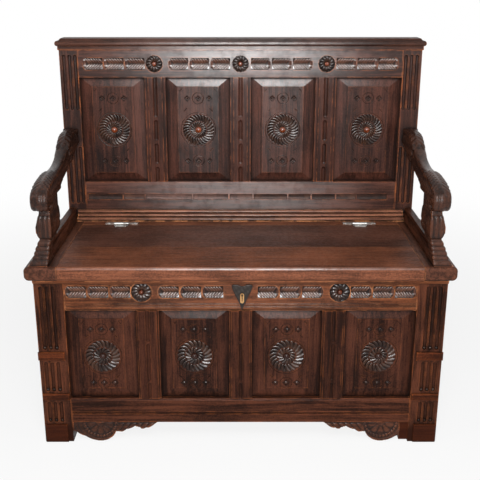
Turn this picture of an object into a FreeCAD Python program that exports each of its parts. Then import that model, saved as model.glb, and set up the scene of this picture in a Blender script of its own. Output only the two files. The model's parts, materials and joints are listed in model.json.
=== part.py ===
import FreeCAD, Part
import math
import os

from FreeCAD import Vector

# A carved oak box settle: a panelled chest with a hinged seat, a panelled back,
# and two open arms. Millimetres. X runs to the sitter's left, Y runs from front
# to back, Z is up. While the pieces are made, Y = 0 is the front face of the
# chest. They are moved to the middle of the object's depth as they are saved.

# Overall sizes
BASE_HALF = 535.0
SEAT_TOP = 513.0
SEAT_THICK = 38.0
BACK_FACE = 425.0
BACK_RISE = 503.0
POST_SET = 14.0
POST_WIDE = 54.0
POST_DEEP = 60.0

# Joinery shared by all the frames. OVERCUT is how far a cutting shape runs past a surface.
FRAME_THICK = 34.0
GROOVE_SET = 14.0
GROOVE_WIDE = 8.0
GROOVE_DEEP = 8.0
TENON_LONG = 30.0
TENON_SHOULDER = 9.0
FIT = 0.25
OVERCUT = 1.0

# Chest front
STILE_WIDE = 76.5
STILE_DEEP = 60.0
FRIEZE_WIDE = 87.0
FRIEZE_LINES = (12.0, 20.0)
BOTTOM_RAIL_LOW = 60.0
BOTTOM_RAIL_WIDE = 71.0
MUNTIN_WIDE = 60.0
MUNTIN_EDGE = 5.0
MUNTIN_STEP = 4.0
RAIL_GROOVE_UP = 28.0
RAIL_GROOVE_HIGH = 5.0
RAIL_GROOVE_DEEP = 2.4
FLUTE_PITCH = 16.0
FLUTE_R = 5.2
STILE_FLUTE_IN = 33.0
STILE_FLUTE_MARGIN = 6.0
STILE_FLUTE_TOP = 18.0
BEAD_HIGH = 7.0
BEAD_LIP = 1.0
BEAD_BACK = 4.0

# Chest sides, back and floor
SIDE_THICK = 28.0
SIDE_TOP_WIDE = 77.0
SIDE_GROOVE_SET = 10.0
SIDE_MARGIN = 26.0
CHEST_BACK_SET = 26.0
FLOOR_UP = 35.0
FLOOR_THICK = 16.0
FLOOR_BOARDS = 6
FLOOR_GAP = 1.0
FLOOR_TONGUE = 8.0

# Carved panels. Margins run from the frame's opening to the field at the sides, below and above.
FRONT_MARGINS = (33.0, 30.0, 24.0)
BACK_MARGINS = (34.0, 27.5, 26.5)
FRONT_ROUNDEL_UP = -3.5
BACK_ROUNDEL_UP = 1.5
FRONT_STARS = (29.0, 78.0)
BACK_STARS = (32.0, 93.0)
PANEL_RISE = 8.0
FIELD_STEP = 2.0
ROUNDEL_R = 51.0
DISH_R = 46.0
DISH_RING_R = 25.0
DISH_RING_HALF = 1.5
DISH_DEEP = 4.0
DISH_LAND = 0.5
BOSS_R = 9.0
BOSS_HIGH = 7.0
DOWEL_R = 3.8
DOWEL_LONG = 6.0
DOWEL_FIT = 0.1
STAR_R = 10.0
STAR_WAIST = 5.4
STAR_DEEP = 2.6
STAR_RING_R = 16.0
LINE_DEEP = 1.4
NICK_R = 1.5
NICK_LONG = 11.0
NICK_IN = 10.0
DASH_OUT = 38.0
DASH_UP = 59.0

# Carved bands. Leaf: width, then low and high edges above the rail's low edge.
# Groups: from the middle to the first leaf, and from the outer rosette to the next.
# Rosette: from the muntin's middle, then radius.
FRONT_LEAF = (54.0, 36.0, 69.0)
BACK_LEAF = (57.0, 21.5, 55.5)
LEAF_GAP = 3.5
LEAF_BULGE = 7.0
POCKET_DEEP = 4.0
FRONT_GROUPS = (44.5, 28.3)
BACK_GROUPS = (30.0, 27.5)
FRONT_ROSETTE = (12.5, 27.0)
BACK_ROSETTE = (0.0, 24.0)

# Aprons, as points in from the stile and down from the rail, and the foot packing
APRON_THICK = 22.0
APRON_SET = 3.0
APRON_SIDE = 26.0
APRON_LOBE = ((34.5, 46.0), (62.5, 56.5), (87.5, 56.0), (106.5, 45.0))
APRON_NECK = (117.5, 29.0)
APRON_SCROLL = ((128.5, 30.0), (150.5, 22.0))
APRON_NOTCH = (178.5, 14.0)
APRON_LEAF = ((187.5, 20.0), (200.5, 19.0), (218.5, 11.0))
APRON_TIP = 235.5
FOOT_PACKING_WIDE = 24.5
FOOT_PACKING_LIFT = 5.0

# Applied blocks: in from the stile's inner edge, out past its outer edge, low and high
BLOCK_THICK = 5.0
BLOCK_ROUND = 2.0
BLOCKS = ((13.5, -2.0, 0.0, 54.0), (2.5, -2.0, 128.0, 147.0), (7.5, 2.0, 247.0, 270.5))

# Seat
SEAT_END_OUT = 20.0
SEAT_END_LAP = 3.0
LID_SIDE_GAP = 1.0
SEAT_FRONT = -14.2
LID_JOINT = 152.0
LID_BACK_SET = 68.0
LID_GAP = 2.0
SEAT_NOSE = 13.0
LID_NOSE = 8.0
BED_HIGH = 10.0
BED_OUT = 9.0
BED_FOOT = 3.6
BED_SHOULDER = (8.1, 4.5)
BED_FILLET = 3.0

# Settle back
BACK_RAIL_WIDE = 115.5
BACK_FRIEZE_WIDE = 77.5
BACK_MUNTIN_EDGE = 9.0
BACK_CHANNEL_HALF = 6.5
POST_FLUTE_IN = 29.5
POST_FLUTE_LOW = (49.0, 222.0)
POST_FLUTE_HIGH = 332.0
POST_FLUTE_TOP = 13.0
FOOT_MOULD_OUT = 31.0
FOOT_MOULD_HIGH = 29.0
FOOT_MOULD_LIP = 2.0
FOOT_REED = 0.6
CHANNEL_UP = 69.0
CHANNEL_HIGH = 17.0
CHANNEL_START = 7.0
CHANNEL_RUNS = (107.0, 67.0, 143.0, 110.0, 73.0, 105.0, 71.0, 74.0, 62.0, 95.0)
CHANNEL_BRIDGE = 4.0
CHANNEL_DEEP = 4.0
FRONT_STOPS = (54.0, 169.0)
BACK_STOPS = (52.5, 122.5, 192.5)
STOP_LAND = 5.0

# Cornice
CORNICE_BAND = 11.0
CORNICE_TORUS = 15.0
CORNICE_CAP = 6.0
CORNICE_BAND_OUT = 3.0
CORNICE_TORUS_OUT = 9.0
CORNICE_TOP_IN = 5.0
CORNICE_ROUND = 6.5

# Arms. Front points run back from the chest's face, rear points from the back's
# face, and all heights are above the seat.
ARM_IN_FRONT = 47.0
ARM_IN_BACK = 41.0
ARM_OUT = 1.0
ARM_OUT_BACK = 0.0
ARM_TAPER = (110.0, 190.0)
ARM_TOP_REAR = ((0, 276), (-45, 276), (-95, 270), (-125, 254), (-163, 235), (-200, 222))
ARM_TOP_FRONT = ((180, 216), (120, 218), (60, 216), (15, 209), (-12, 198))
ARM_SCROLL = ((-25, 179), (-18, 154), (8, 144), (26, 155), (34, 173))
ARM_UNDER_FRONT = ((60, 175), (101, 174), (160, 177), (208, 183))
ARM_UNDER_REAR = ((-142, 199), (-85, 216), (-33, 232), (0, 237))
ARM_TENON_LONG = 25.0
ARM_TENON_WIDE = 14.0
ARM_TENON_HIGH = 24.0

# Arm supports: out from the back's side or back from the chest's face, and above the seat
SUPPORT_OUTER = ((23, 0), (15, 5), (9, 16), (4, 27), (-1, 43), (-9, 62), (-10, 72), (-5.5, 87),
                 (-6, 102), (-9.5, 117), (-13, 139), (-13, 187))
SUPPORT_INNER = ((-41, 187), (-41, 75), (-36, 63), (-32, 37), (-29, 12), (-28, 0))
SUPPORT_BACK = ((60, 0), (60, 6), (47, 16), (37, 28), (35, 42), (46, 53), (75, 58), (97, 70),
                (105, 87), (100, 98), (108, 103), (108, 187))
SUPPORT_FRONT = ((8, 187), (8, 142), (4, 127), (4, 75), (8, 67), (3, 43), (-2, 18), (-6, 7), (-8, 0))

# Low side rails
LOW_RAIL_RISE = 35.0
LOW_RAIL_WIDE = 22.0
LOW_RAIL_FOOT_WIDE = 29.0
LOW_RAIL_EDGE = 3.0
LOW_RAIL_NECK = (12.0, 16.0)
LOW_RAIL_BASE = 8.0

# Hinges
HINGE_IN = 114.5
HINGE_BAR = (97.0, 16.0)
HINGE_TONGUE = (42.0, 18.0)
TONGUE_TAPER = 5.0
BAR_SET = 1.0
BAR_SCREWS = (-0.4, 0.0, 0.4)
LID_SCREWS = (-0.32, 0.32)
LEAF_THICK = 2.5
KNUCKLE_R = 4.0
KNUCKLE_LIFT = 0.3
PIN_R = 2.0
PIN_OVER = 1.0
PIN_FIT = 0.05
PIN_SEAT = 0.02
KNUCKLE_GAP = 0.3
CENTRE_KNUCKLE = 18.0
SCREW_R = 2.0
SCREW_HEAD_R = 3.4
SCREW_HEAD_HIGH = 1.2
SCREW_LONG = 16.0
SCREW_FIT = 0.1

# Lock. Down is measured from the underside of the seat.
LOCK_X = 4.0
ESCUTCHEON_HALF = 27.0
ESCUTCHEON_DOWN = (83.0, 14.0)
ESCUTCHEON_WAIST = ((21.6, 32.0), (10.8, 56.0))
ESCUTCHEON_EAR = 3.0
ESCUTCHEON_DIP = 4.0
ESCUTCHEON_THICK = 2.5
KEYHOLE_HALF = 5.0
KEYHOLE_DOWN = (63.5, 36.5)
KEYHOLE_WALL = 1.8
KEYHOLE_SLOT = 1.2
KEYHOLE_PROUD = 2.5
KEYHOLE_SUNK = 12.0
LOCK_HALF = 38.0
LOCK_DEEP = 24.0
LOCK_DOWN = (70.0, 10.0)
LOCK_WALL = 2.0
LOCK_SLOT_ROOM = 4.0
KEY_ROOM = 8.0
TONGUE_THICK = 4.0
TONGUE_X = 14.0
TONGUE_SET = 9.0
TONGUE_DEEP = 9.0
TONGUE_DOWN = 34.0
TONGUE_PLATE = (20.0, 2.5)
TONGUE_PLATE_OVER = 4.0
BOLT_HIGH = 8.0
BOLT_THICK = 4.4
BOLT_LONG = 36.0
BOLT_DOWN = 24.0
BOLT_SHORT = 4.0
BOLT_PLAY = 0.4
BOLT_EYE_ROOM = 1.0
BOLT_SHELF = 25.0

# Worked out from the sizes above
SEAT_LOW = SEAT_TOP - SEAT_THICK
BACK_HALF = BASE_HALF - POST_SET
BACK_INNER = BACK_HALF - POST_WIDE
CHEST_DEPTH = BACK_FACE + POST_DEEP
POST_TOP = SEAT_TOP + BACK_RISE
STILE_IN = BASE_HALF - STILE_WIDE
FRIEZE_LOW = SEAT_LOW - FRIEZE_WIDE
BOTTOM_RAIL_HIGH = BOTTOM_RAIL_LOW + BOTTOM_RAIL_WIDE
SIDE_IN = BACK_HALF - SIDE_THICK
SIDE_GROOVE_X = SIDE_IN + SIDE_GROOVE_SET
SIDE_TOP_LOW = SEAT_LOW - SIDE_TOP_WIDE
CHEST_BACK_FACE = BACK_FACE + CHEST_BACK_SET
FLOOR_LOW = BOTTOM_RAIL_LOW + FLOOR_UP
BACK_RAIL_HIGH = SEAT_TOP + BACK_RAIL_WIDE
BACK_FRIEZE_LOW = POST_TOP - BACK_FRIEZE_WIDE
SEAT_END_X = BACK_INNER + SEAT_END_LAP
LID_HALF = SEAT_END_X - LID_SIDE_GAP
LID_BACK = BACK_FACE - LID_BACK_SET
STRIP_FRONT = LID_BACK + LID_GAP
LOW_RAIL_FOOT = BACK_HALF - LOW_RAIL_FOOT_WIDE
LOW_RAIL_FRONT = SUPPORT_BACK[0][0]
HINGE_X = LID_HALF - HINGE_IN
HINGE_Y = LID_BACK + LID_GAP / 2
HINGE_Z = SEAT_TOP + KNUCKLE_R + KNUCKLE_LIFT
KEYHOLE_LOW = SEAT_LOW - KEYHOLE_DOWN[0]
KEYHOLE_HIGH = SEAT_LOW - KEYHOLE_DOWN[1]
BOLT_Z = SEAT_LOW - BOLT_DOWN
TONGUE_FRONT = FRAME_THICK + TONGUE_SET
DEPTH_FRONT = min(y for y, z in ARM_SCROLL)
MID_DEPTH = (DEPTH_FRONT + CHEST_DEPTH) / 2


def slab(x0, x1, y0, y1, z0, z1):
    return Part.makeBox(x1 - x0, y1 - y0, z1 - z0, Vector(x0, y0, z0))


def rod(x, y, z, r, length, direction):
    return Part.makeCylinder(r, length, Vector(x, y, z), direction)


def mirrored(shape):
    return shape.mirror(Vector(0, 0, 0), Vector(1, 0, 0))


def save(shape, name):
    placed = shape.copy()
    placed.translate(Vector(0, -MID_DEPTH, 0))
    placed.exportStep("parts/" + name + ".step")
    print(name, len(placed.Solids), round(placed.Volume))


def save_pair(shape, name):
    save(mirrored(shape), name + "_left")
    save(shape, name + "_right")


def smooth(points):
    curve = Part.BSplineCurve()
    curve.interpolate(points)
    return curve.toShape()


def prism(points, direction):
    return Part.Face(Part.makePolygon(points + points[:1])).extrude(direction)


def in_yz(pairs, x):
    return [Vector(x, y, z) for y, z in pairs]


def in_xz(pairs, y):
    return [Vector(x, y, z) for x, z in pairs]


def shifted(pairs, first, second):
    return [(first + a, second + b) for a, b in pairs]


def between(x_a, x_b, y_a, y_b, z0, z1):
    return slab(min(x_a, x_b), max(x_a, x_b), min(y_a, y_b), max(y_a, y_b), z0, z1)


# Stopped flutes and channels
def upright_flute(x, y, z0, z1, r):
    body = rod(x, y, z0 + r, r, z1 - z0 - 2 * r, Vector(0, 0, 1))
    ends = [Part.makeSphere(r, Vector(x, y, z)) for z in (z0 + r, z1 - r)]
    return body.fuse(ends)


def flutes(x_mid, y, spans):
    made = []
    for z0, z1 in spans:
        for step in (-1, 0, 1):
            made.append(upright_flute(x_mid + step * FLUTE_PITCH, y, z0, z1, FLUTE_R))
    return made


def stopped_channel(x, face, z0, z1, half, stops):
    # scooped runs with rounded ends; the first and last run out past the shoulders
    r = (half ** 2 + CHANNEL_DEEP ** 2) / (2 * CHANNEL_DEEP)
    y = face + CHANNEL_DEEP - r
    cuts = []
    low = z0 - r
    for stop in [z0 + rise for rise in stops] + [z1 + r + STOP_LAND]:
        cuts.append(upright_flute(x, y, low, stop - STOP_LAND, r))
        low = stop
    return cuts


# Leaf and rosette pockets of the carved bands
def leaf_pocket(x0, x1, y, z0, z1):
    front = y - OVERCUT
    a = Vector(x0, front, z0)
    b = Vector(x0, front, z1)
    c = Vector(x1 - LEAF_BULGE, front, z1)
    d = Vector(x1 - LEAF_BULGE, front, z0)
    bow = Part.Arc(c, Vector(x1, front, (z0 + z1) / 2), d).toShape()
    edges = [Part.makeLine(a, b), Part.makeLine(b, c), bow, Part.makeLine(d, a)]
    return Part.Face(Part.Wire(edges)).extrude(Vector(0, POCKET_DEEP + OVERCUT, 0))


def leaf_pockets(starts, leaf, y, z_rail):
    wide, low, high = leaf
    cuts = []
    for start in starts:
        for step in range(3):
            x0 = start + step * (wide + LEAF_GAP)
            pocket = leaf_pocket(x0, x0 + wide, y, z_rail + low, z_rail + high)
            cuts.append(pocket)
            cuts.append(mirrored(pocket))
    return cuts


def rosette_pockets(places, r, y, leaf, z_rail):
    z = z_rail + (leaf[1] + leaf[2]) / 2
    return [rod(x, y - OVERCUT, z, r, POCKET_DEEP + OVERCUT, Vector(0, 1, 0)) for x in places]


# Carved raised panels
def chip_star(x, y, z):
    rim = []
    for step in range(8):
        r = STAR_R if step % 2 == 0 else STAR_WAIST
        angle = math.pi / 4 * step
        rim.append(Vector(x + r * math.cos(angle), y, z + r * math.sin(angle)))
    tip = Vector(x, y + STAR_DEEP, z)
    faces = [Part.Face(Part.makePolygon(rim + rim[:1]))]
    for one, two in zip(rim, rim[1:] + rim[:1]):
        faces.append(Part.Face(Part.makePolygon([one, two, tip, one])))
    return Part.Solid(Part.Shell(faces))


def line_ring(x, y, z, r):
    return Part.makeTorus(r, LINE_DEEP, Vector(x, y, z), Vector(0, 1, 0))


def gouge_nick(x, y, z, way):
    # a short slanting cut, rising to the right where way is 1
    half = NICK_LONG * math.sqrt(0.5) / 2
    return rod(x - half, y, z - way * half, NICK_R, NICK_LONG, Vector(1, 0, way))


def field_nicks(x, y, half, f1, z_mid):
    # one inside each top corner of the field, and four round the roundel
    cuts = []
    for side in (-1, 1):
        cuts.append(gouge_nick(x + side * (half - NICK_IN), y, f1 - NICK_IN, -side))
        for up in (-1, 1):
            cuts.append(gouge_nick(x + side * DASH_OUT, y, z_mid + up * DASH_UP, -side * up))
    return cuts


def roundel_dish(x, y, z):
    # profile in radius and depth, turned about the roundel's own axis
    land = y + DISH_LAND
    rim = Vector(x + DISH_R, y, z)
    ring_out = Vector(x + DISH_RING_R + DISH_RING_HALF, land, z)
    ring_in = Vector(x + DISH_RING_R - DISH_RING_HALF, land, z)
    eye = Vector(x + BOSS_R + DISH_LAND, land, z)
    outer_mid = Vector(x + (DISH_R + DISH_RING_R) / 2, y + DISH_DEEP, z)
    inner_mid = Vector(x + (DISH_RING_R + BOSS_R) / 2, y + DISH_DEEP, z)
    above = Vector(x + DISH_R, y - OVERCUT, z)
    centre = Vector(x, y - OVERCUT, z)
    centre_face = Vector(x, land, z)
    edges = [
        Part.makeLine(above, rim),
        Part.Arc(rim, outer_mid, ring_out).toShape(),
        Part.makeLine(ring_out, ring_in),
        Part.Arc(ring_in, inner_mid, eye).toShape(),
        Part.makeLine(eye, centre_face),
        Part.makeLine(centre_face, centre),
        Part.makeLine(centre, above),
    ]
    return Part.Face(Part.Wire(edges)).revolve(Vector(x, y, z), Vector(0, 1, 0), 360)


def roundel_z(z0, z1, up):
    return (z0 + z1) / 2 + up


def bevel_block(x, wide, z0, z1, y, field_wide, f0, f1):
    base = [(x - wide / 2, z0), (x + wide / 2, z0), (x + wide / 2, z1), (x - wide / 2, z1)]
    top = [(x - field_wide / 2, f0), (x + field_wide / 2, f0),
           (x + field_wide / 2, f1), (x - field_wide / 2, f1)]
    low_wire = Part.makePolygon(in_xz(base + base[:1], y))
    top_wire = Part.makePolygon(in_xz(top + top[:1], y - PANEL_RISE))
    return Part.makeLoft([low_wire, top_wire], True, True)


def panel_face_y(face):
    return face + GROOVE_SET - PANEL_RISE - FIELD_STEP


def carved_panel(x, wide, z0, z1, face, margins, roundel_up, stars):
    tongue_y = face + GROOVE_SET + FIT
    tongue_back = face + GROOVE_SET + GROOVE_WIDE - FIT
    reach = GROOVE_DEEP - FIT
    side_margin, low_margin, high_margin = margins
    field_wide = wide - 2 * side_margin
    f0 = z0 + low_margin
    f1 = z1 - high_margin
    sheet = slab(x - wide / 2 - reach, x + wide / 2 + reach, tongue_y, tongue_back, z0 - reach, z1 + reach)
    bevel = bevel_block(x, wide - 2 * FIT, z0 + FIT, z1 - FIT, tongue_y, field_wide, f0, f1)
    y = panel_face_y(face)
    plate = slab(x - field_wide / 2, x + field_wide / 2, y, tongue_y - PANEL_RISE + OVERCUT, f0, f1)
    body = sheet.fuse([bevel, plate])
    z_mid = roundel_z(z0, z1, roundel_up)
    cuts = [roundel_dish(x, y, z_mid), line_ring(x, y, z_mid, ROUNDEL_R), dowel_hole(x, y, z_mid)]
    star_x, star_z = stars
    for side in (-1, 1):
        z = z_mid + side * star_z
        cuts.append(line_ring(x, y, z, STAR_RING_R))
        for step in (-1, 0, 1):
            cuts.append(chip_star(x + step * star_x, y, z))
    cuts += field_nicks(x, y, field_wide / 2, f1, z_mid)
    return body.cut(cuts)


def dowel_hole(x, y, z):
    deep = DISH_LAND + DOWEL_LONG + FIT
    return rod(x, y - OVERCUT, z, DOWEL_R + DOWEL_FIT, deep + OVERCUT, Vector(0, 1, 0))


def boss(x, face, z):
    y = panel_face_y(face) + DISH_LAND
    ball = Part.makeSphere(BOSS_R, Vector(x, y + BOSS_R - BOSS_HIGH, z))
    dome = ball.common(slab(x - BOSS_R, x + BOSS_R, y - BOSS_HIGH, y, z - BOSS_R, z + BOSS_R))
    return dome.fuse(rod(x, y - OVERCUT, z, DOWEL_R, DOWEL_LONG + OVERCUT, Vector(0, 1, 0)))


# Frame members in the X and Z directions
def grooved_muntin(x, z0, z1, face, edge, channel_half, stops):
    half = MUNTIN_WIDE / 2
    reach = GROOVE_DEEP - FIT
    g0 = face + GROOVE_SET
    g1 = g0 + GROOVE_WIDE
    body = slab(x - half, x + half, face, face + FRAME_THICK, z0, z1)
    tongue = slab(x - half, x + half, g0 + FIT, g1 - FIT, z0 - reach, z1 + reach)
    cuts = []
    for side in (-1, 1):
        past = x + side * (half + OVERCUT)
        cuts.append(between(x + side * (half - GROOVE_DEEP), past, g0, g1, z0 - reach, z1 + reach))
        cuts.append(between(x + side * (half - edge), past, face - OVERCUT, face + MUNTIN_STEP, z0, z1))
    cuts += stopped_channel(x, face, z0, z1, channel_half, stops)
    return body.fuse(tongue).cut(cuts)


def cross_rail(half, z0, z1, face, thick, set_back, groove_low, groove_high):
    g0 = face + set_back
    g1 = g0 + GROOVE_WIDE
    long = half + TENON_LONG - FIT
    body = slab(-half, half, face, face + thick, z0, z1)
    tenon = slab(-long, long, g0 + FIT, g1 - FIT, z0 + TENON_SHOULDER + FIT, z1 - TENON_SHOULDER - FIT)
    body = body.fuse(tenon)
    if groove_low:
        body = body.cut(slab(-half, half, g0, g1, z0 - OVERCUT, z0 + GROOVE_DEEP))
    if groove_high:
        body = body.cut(slab(-half, half, g0, g1, z1 - GROOVE_DEEP, z1 + OVERCUT))
    return body


def mortise(inner, z0, z1, g0):
    return slab(inner - OVERCUT, inner + TENON_LONG, g0, g0 + GROOVE_WIDE,
                z0 + TENON_SHOULDER, z1 - TENON_SHOULDER)


def side_mortise(y_face, way, z0, z1):
    return between(SIDE_GROOVE_X, SIDE_GROOVE_X + GROOVE_WIDE, y_face, y_face + way * TENON_LONG,
                   z0 + TENON_SHOULDER, z1 - TENON_SHOULDER)


def side_groove(y_face, way):
    return between(SIDE_GROOVE_X, SIDE_GROOVE_X + GROOVE_WIDE, y_face, y_face + way * GROOVE_DEEP,
                   BOTTOM_RAIL_HIGH - GROOVE_DEEP, SIDE_TOP_LOW + GROOVE_DEEP)


# Chest front
def stile_flute_spans():
    lows = [z1 + STILE_FLUTE_MARGIN for inner, outer, z0, z1 in BLOCKS]
    highs = [z0 - STILE_FLUTE_MARGIN for inner, outer, z0, z1 in BLOCKS[1:]] + [SEAT_LOW - STILE_FLUTE_TOP]
    return list(zip(lows, highs))


def front_stile():
    body = slab(STILE_IN, BASE_HALF, 0, STILE_DEEP, 0, SEAT_LOW)
    cuts = flutes(BASE_HALF - STILE_FLUTE_IN, 0, stile_flute_spans())
    cuts.append(mortise(STILE_IN, FRIEZE_LOW, SEAT_LOW, GROOVE_SET))
    cuts.append(mortise(STILE_IN, BOTTOM_RAIL_LOW, BOTTOM_RAIL_HIGH, GROOVE_SET))
    cuts.append(slab(STILE_IN - OVERCUT, STILE_IN + GROOVE_DEEP, GROOVE_SET, GROOVE_SET + GROOVE_WIDE,
                     BOTTOM_RAIL_HIGH - GROOVE_DEEP, FRIEZE_LOW + GROOVE_DEEP))
    cuts.append(side_mortise(STILE_DEEP, -1, SIDE_TOP_LOW, SEAT_LOW))
    cuts.append(side_mortise(STILE_DEEP, -1, BOTTOM_RAIL_LOW, BOTTOM_RAIL_HIGH))
    cuts.append(side_groove(STILE_DEEP, -1))
    return body.cut(cuts)


def muntin_pitch(opening):
    return opening + MUNTIN_WIDE


def beaded_edge(z, way):
    edge = [(-OVERCUT, z - way * OVERCUT), (BEAD_BACK, z - way * OVERCUT), (BEAD_BACK, z + way * BEAD_LIP),
            (-OVERCUT, z + way * BEAD_HIGH)]
    return prism(in_yz(edge, -STILE_IN), Vector(2 * STILE_IN, 0, 0))


def front_frieze_rail():
    body = cross_rail(STILE_IN, FRIEZE_LOW, SEAT_LOW, 0, FRAME_THICK, GROOVE_SET, True, False)
    place = muntin_pitch(front_opening()) + FRONT_ROSETTE[0]
    starts = (FRONT_GROUPS[0], place + FRONT_GROUPS[1])
    cuts = leaf_pockets(starts, FRONT_LEAF, 0, FRIEZE_LOW)
    cuts += rosette_pockets((-place, place), FRONT_ROSETTE[1], 0, FRONT_LEAF, FRIEZE_LOW)
    for rise in FRIEZE_LINES:
        cuts.append(rod(-STILE_IN, 0, FRIEZE_LOW + rise, LINE_DEEP, 2 * STILE_IN, Vector(1, 0, 0)))
    cuts.append(keyhole_body(-OVERCUT, FRAME_THICK + OVERCUT, FIT))
    cuts.append(beaded_edge(FRIEZE_LOW, 1))
    return body.cut(cuts)


def front_bottom_rail():
    body = cross_rail(STILE_IN, BOTTOM_RAIL_LOW, BOTTOM_RAIL_HIGH, 0, FRAME_THICK, GROOVE_SET, False, True)
    z = BOTTOM_RAIL_LOW + RAIL_GROOVE_UP
    cuts = [beaded_edge(BOTTOM_RAIL_HIGH, -1)]
    cuts.append(slab(-STILE_IN, STILE_IN, -OVERCUT, RAIL_GROOVE_DEEP, z - RAIL_GROOVE_HIGH / 2,
                     z + RAIL_GROOVE_HIGH / 2))
    cuts.append(floor_slot(FRAME_THICK, -1))
    return body.cut(cuts)


def front_opening():
    return (2 * STILE_IN - 3 * MUNTIN_WIDE) / 4


def back_opening():
    return (2 * BACK_INNER - 3 * MUNTIN_WIDE) / 4


def panel_places(opening):
    return [muntin_pitch(opening) * step for step in (-1.5, -0.5, 0.5, 1.5)]


def muntin_places(opening):
    return [muntin_pitch(opening) * step for step in (-1, 0, 1)]


def apron_points(pairs):
    return in_xz([(STILE_IN - a, BOTTOM_RAIL_LOW - b) for a, b in pairs], APRON_SET)


def apron():
    side = (0.0, APRON_SIDE)
    tip = (APRON_TIP, 0.0)
    lobe = smooth(apron_points((side,) + APRON_LOBE + (APRON_NECK,)))
    scroll = smooth(apron_points((APRON_NECK,) + APRON_SCROLL + (APRON_NOTCH,)))
    leaf = smooth(apron_points((APRON_NOTCH,) + APRON_LEAF + (tip,)))
    start, top_in, top_out = apron_points((side, tip, (0.0, 0.0)))
    edges = [lobe, scroll, leaf, Part.makeLine(top_in, top_out), Part.makeLine(top_out, start)]
    return Part.Face(Part.Wire(edges)).extrude(Vector(0, APRON_THICK, 0))


def foot_packing():
    return slab(STILE_IN - FOOT_PACKING_WIDE, STILE_IN, APRON_SET, FRAME_THICK, FOOT_PACKING_LIFT,
                BOTTOM_RAIL_LOW)


def stile_blocks():
    solids = []
    for inner, outer, z0, z1 in BLOCKS:
        block = slab(STILE_IN + inner, BASE_HALF + outer, -BLOCK_THICK, 0, z0, z1)
        front = [e for e in block.Edges if e.BoundBox.YMax < -BLOCK_THICK / 2]
        block = block.makeFillet(BLOCK_ROUND, front)
        solids += [block, mirrored(block)]
    solids.append(foot_packing())
    return Part.makeCompound(solids)


# Chest sides, back and floor
def rear_post():
    body = slab(BACK_INNER, BACK_HALF, BACK_FACE, CHEST_DEPTH, 0, POST_TOP)
    low = [SEAT_TOP + rise for rise in POST_FLUTE_LOW]
    high = [SEAT_TOP + POST_FLUTE_HIGH, POST_TOP - POST_FLUTE_TOP]
    cuts = flutes(BACK_HALF - POST_FLUTE_IN, BACK_FACE, (low, high))
    g0 = BACK_FACE + GROOVE_SET
    cuts.append(mortise(BACK_INNER, BACK_FRIEZE_LOW, POST_TOP, g0))
    cuts.append(mortise(BACK_INNER, SEAT_TOP, BACK_RAIL_HIGH, g0))
    cuts.append(slab(BACK_INNER - OVERCUT, BACK_INNER + GROOVE_DEEP, g0, g0 + GROOVE_WIDE,
                     BACK_RAIL_HIGH - GROOVE_DEEP, BACK_FRIEZE_LOW + GROOVE_DEEP))
    chest_g0 = CHEST_BACK_FACE + SIDE_GROOVE_SET
    cuts.append(mortise(BACK_INNER, SIDE_TOP_LOW, SEAT_LOW, chest_g0))
    cuts.append(mortise(BACK_INNER, BOTTOM_RAIL_LOW, BOTTOM_RAIL_HIGH, chest_g0))
    cuts.append(slab(BACK_INNER - OVERCUT, BACK_INNER + GROOVE_DEEP, chest_g0, chest_g0 + GROOVE_WIDE,
                     BOTTOM_RAIL_HIGH - GROOVE_DEEP, SIDE_TOP_LOW + GROOVE_DEEP))
    cuts.append(side_mortise(BACK_FACE, 1, SIDE_TOP_LOW, SEAT_LOW))
    cuts.append(side_mortise(BACK_FACE, 1, BOTTOM_RAIL_LOW, BOTTOM_RAIL_HIGH))
    cuts.append(side_groove(BACK_FACE, 1))
    cuts.append(arm_tenon(0))
    return body.cut(cuts)


def side_rail(z0, z1, groove_at_top):
    body = slab(SIDE_IN, BACK_HALF, STILE_DEEP, BACK_FACE, z0, z1)
    tenon = slab(SIDE_GROOVE_X + FIT, SIDE_GROOVE_X + GROOVE_WIDE - FIT, STILE_DEEP - TENON_LONG + FIT,
                 BACK_FACE + TENON_LONG - FIT, z0 + TENON_SHOULDER + FIT, z1 - TENON_SHOULDER - FIT)
    edge = z1 if groove_at_top else z0
    groove = slab(SIDE_GROOVE_X, SIDE_GROOVE_X + GROOVE_WIDE, STILE_DEEP, BACK_FACE,
                  edge - GROOVE_DEEP, edge + GROOVE_DEEP)
    return body.fuse(tenon).cut(groove)


def side_panel():
    reach = GROOVE_DEEP - FIT
    sheet = slab(SIDE_GROOVE_X + FIT, SIDE_GROOVE_X + GROOVE_WIDE - FIT, STILE_DEEP - reach,
                 BACK_FACE + reach, BOTTOM_RAIL_HIGH - reach, SIDE_TOP_LOW + reach)
    base = [(STILE_DEEP + FIT, BOTTOM_RAIL_HIGH + FIT), (BACK_FACE - FIT, BOTTOM_RAIL_HIGH + FIT),
            (BACK_FACE - FIT, SIDE_TOP_LOW - FIT), (STILE_DEEP + FIT, SIDE_TOP_LOW - FIT)]
    y_mid = (STILE_DEEP + BACK_FACE) / 2
    z_mid = (BOTTOM_RAIL_HIGH + SIDE_TOP_LOW) / 2
    top = [(y - math.copysign(SIDE_MARGIN, y - y_mid), z - math.copysign(SIDE_MARGIN, z - z_mid))
           for y, z in base]
    x_face = SIDE_GROOVE_X + GROOVE_WIDE - FIT
    low_wire = Part.makePolygon(in_yz(base + base[:1], x_face))
    top_wire = Part.makePolygon(in_yz(top + top[:1], x_face + PANEL_RISE))
    return sheet.fuse(Part.makeLoft([low_wire, top_wire], True, True))


def chest_back_rail(z0, z1, groove_at_top):
    return cross_rail(BACK_INNER, z0, z1, CHEST_BACK_FACE, SIDE_THICK, SIDE_GROOVE_SET,
                      not groove_at_top, groove_at_top)


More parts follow.
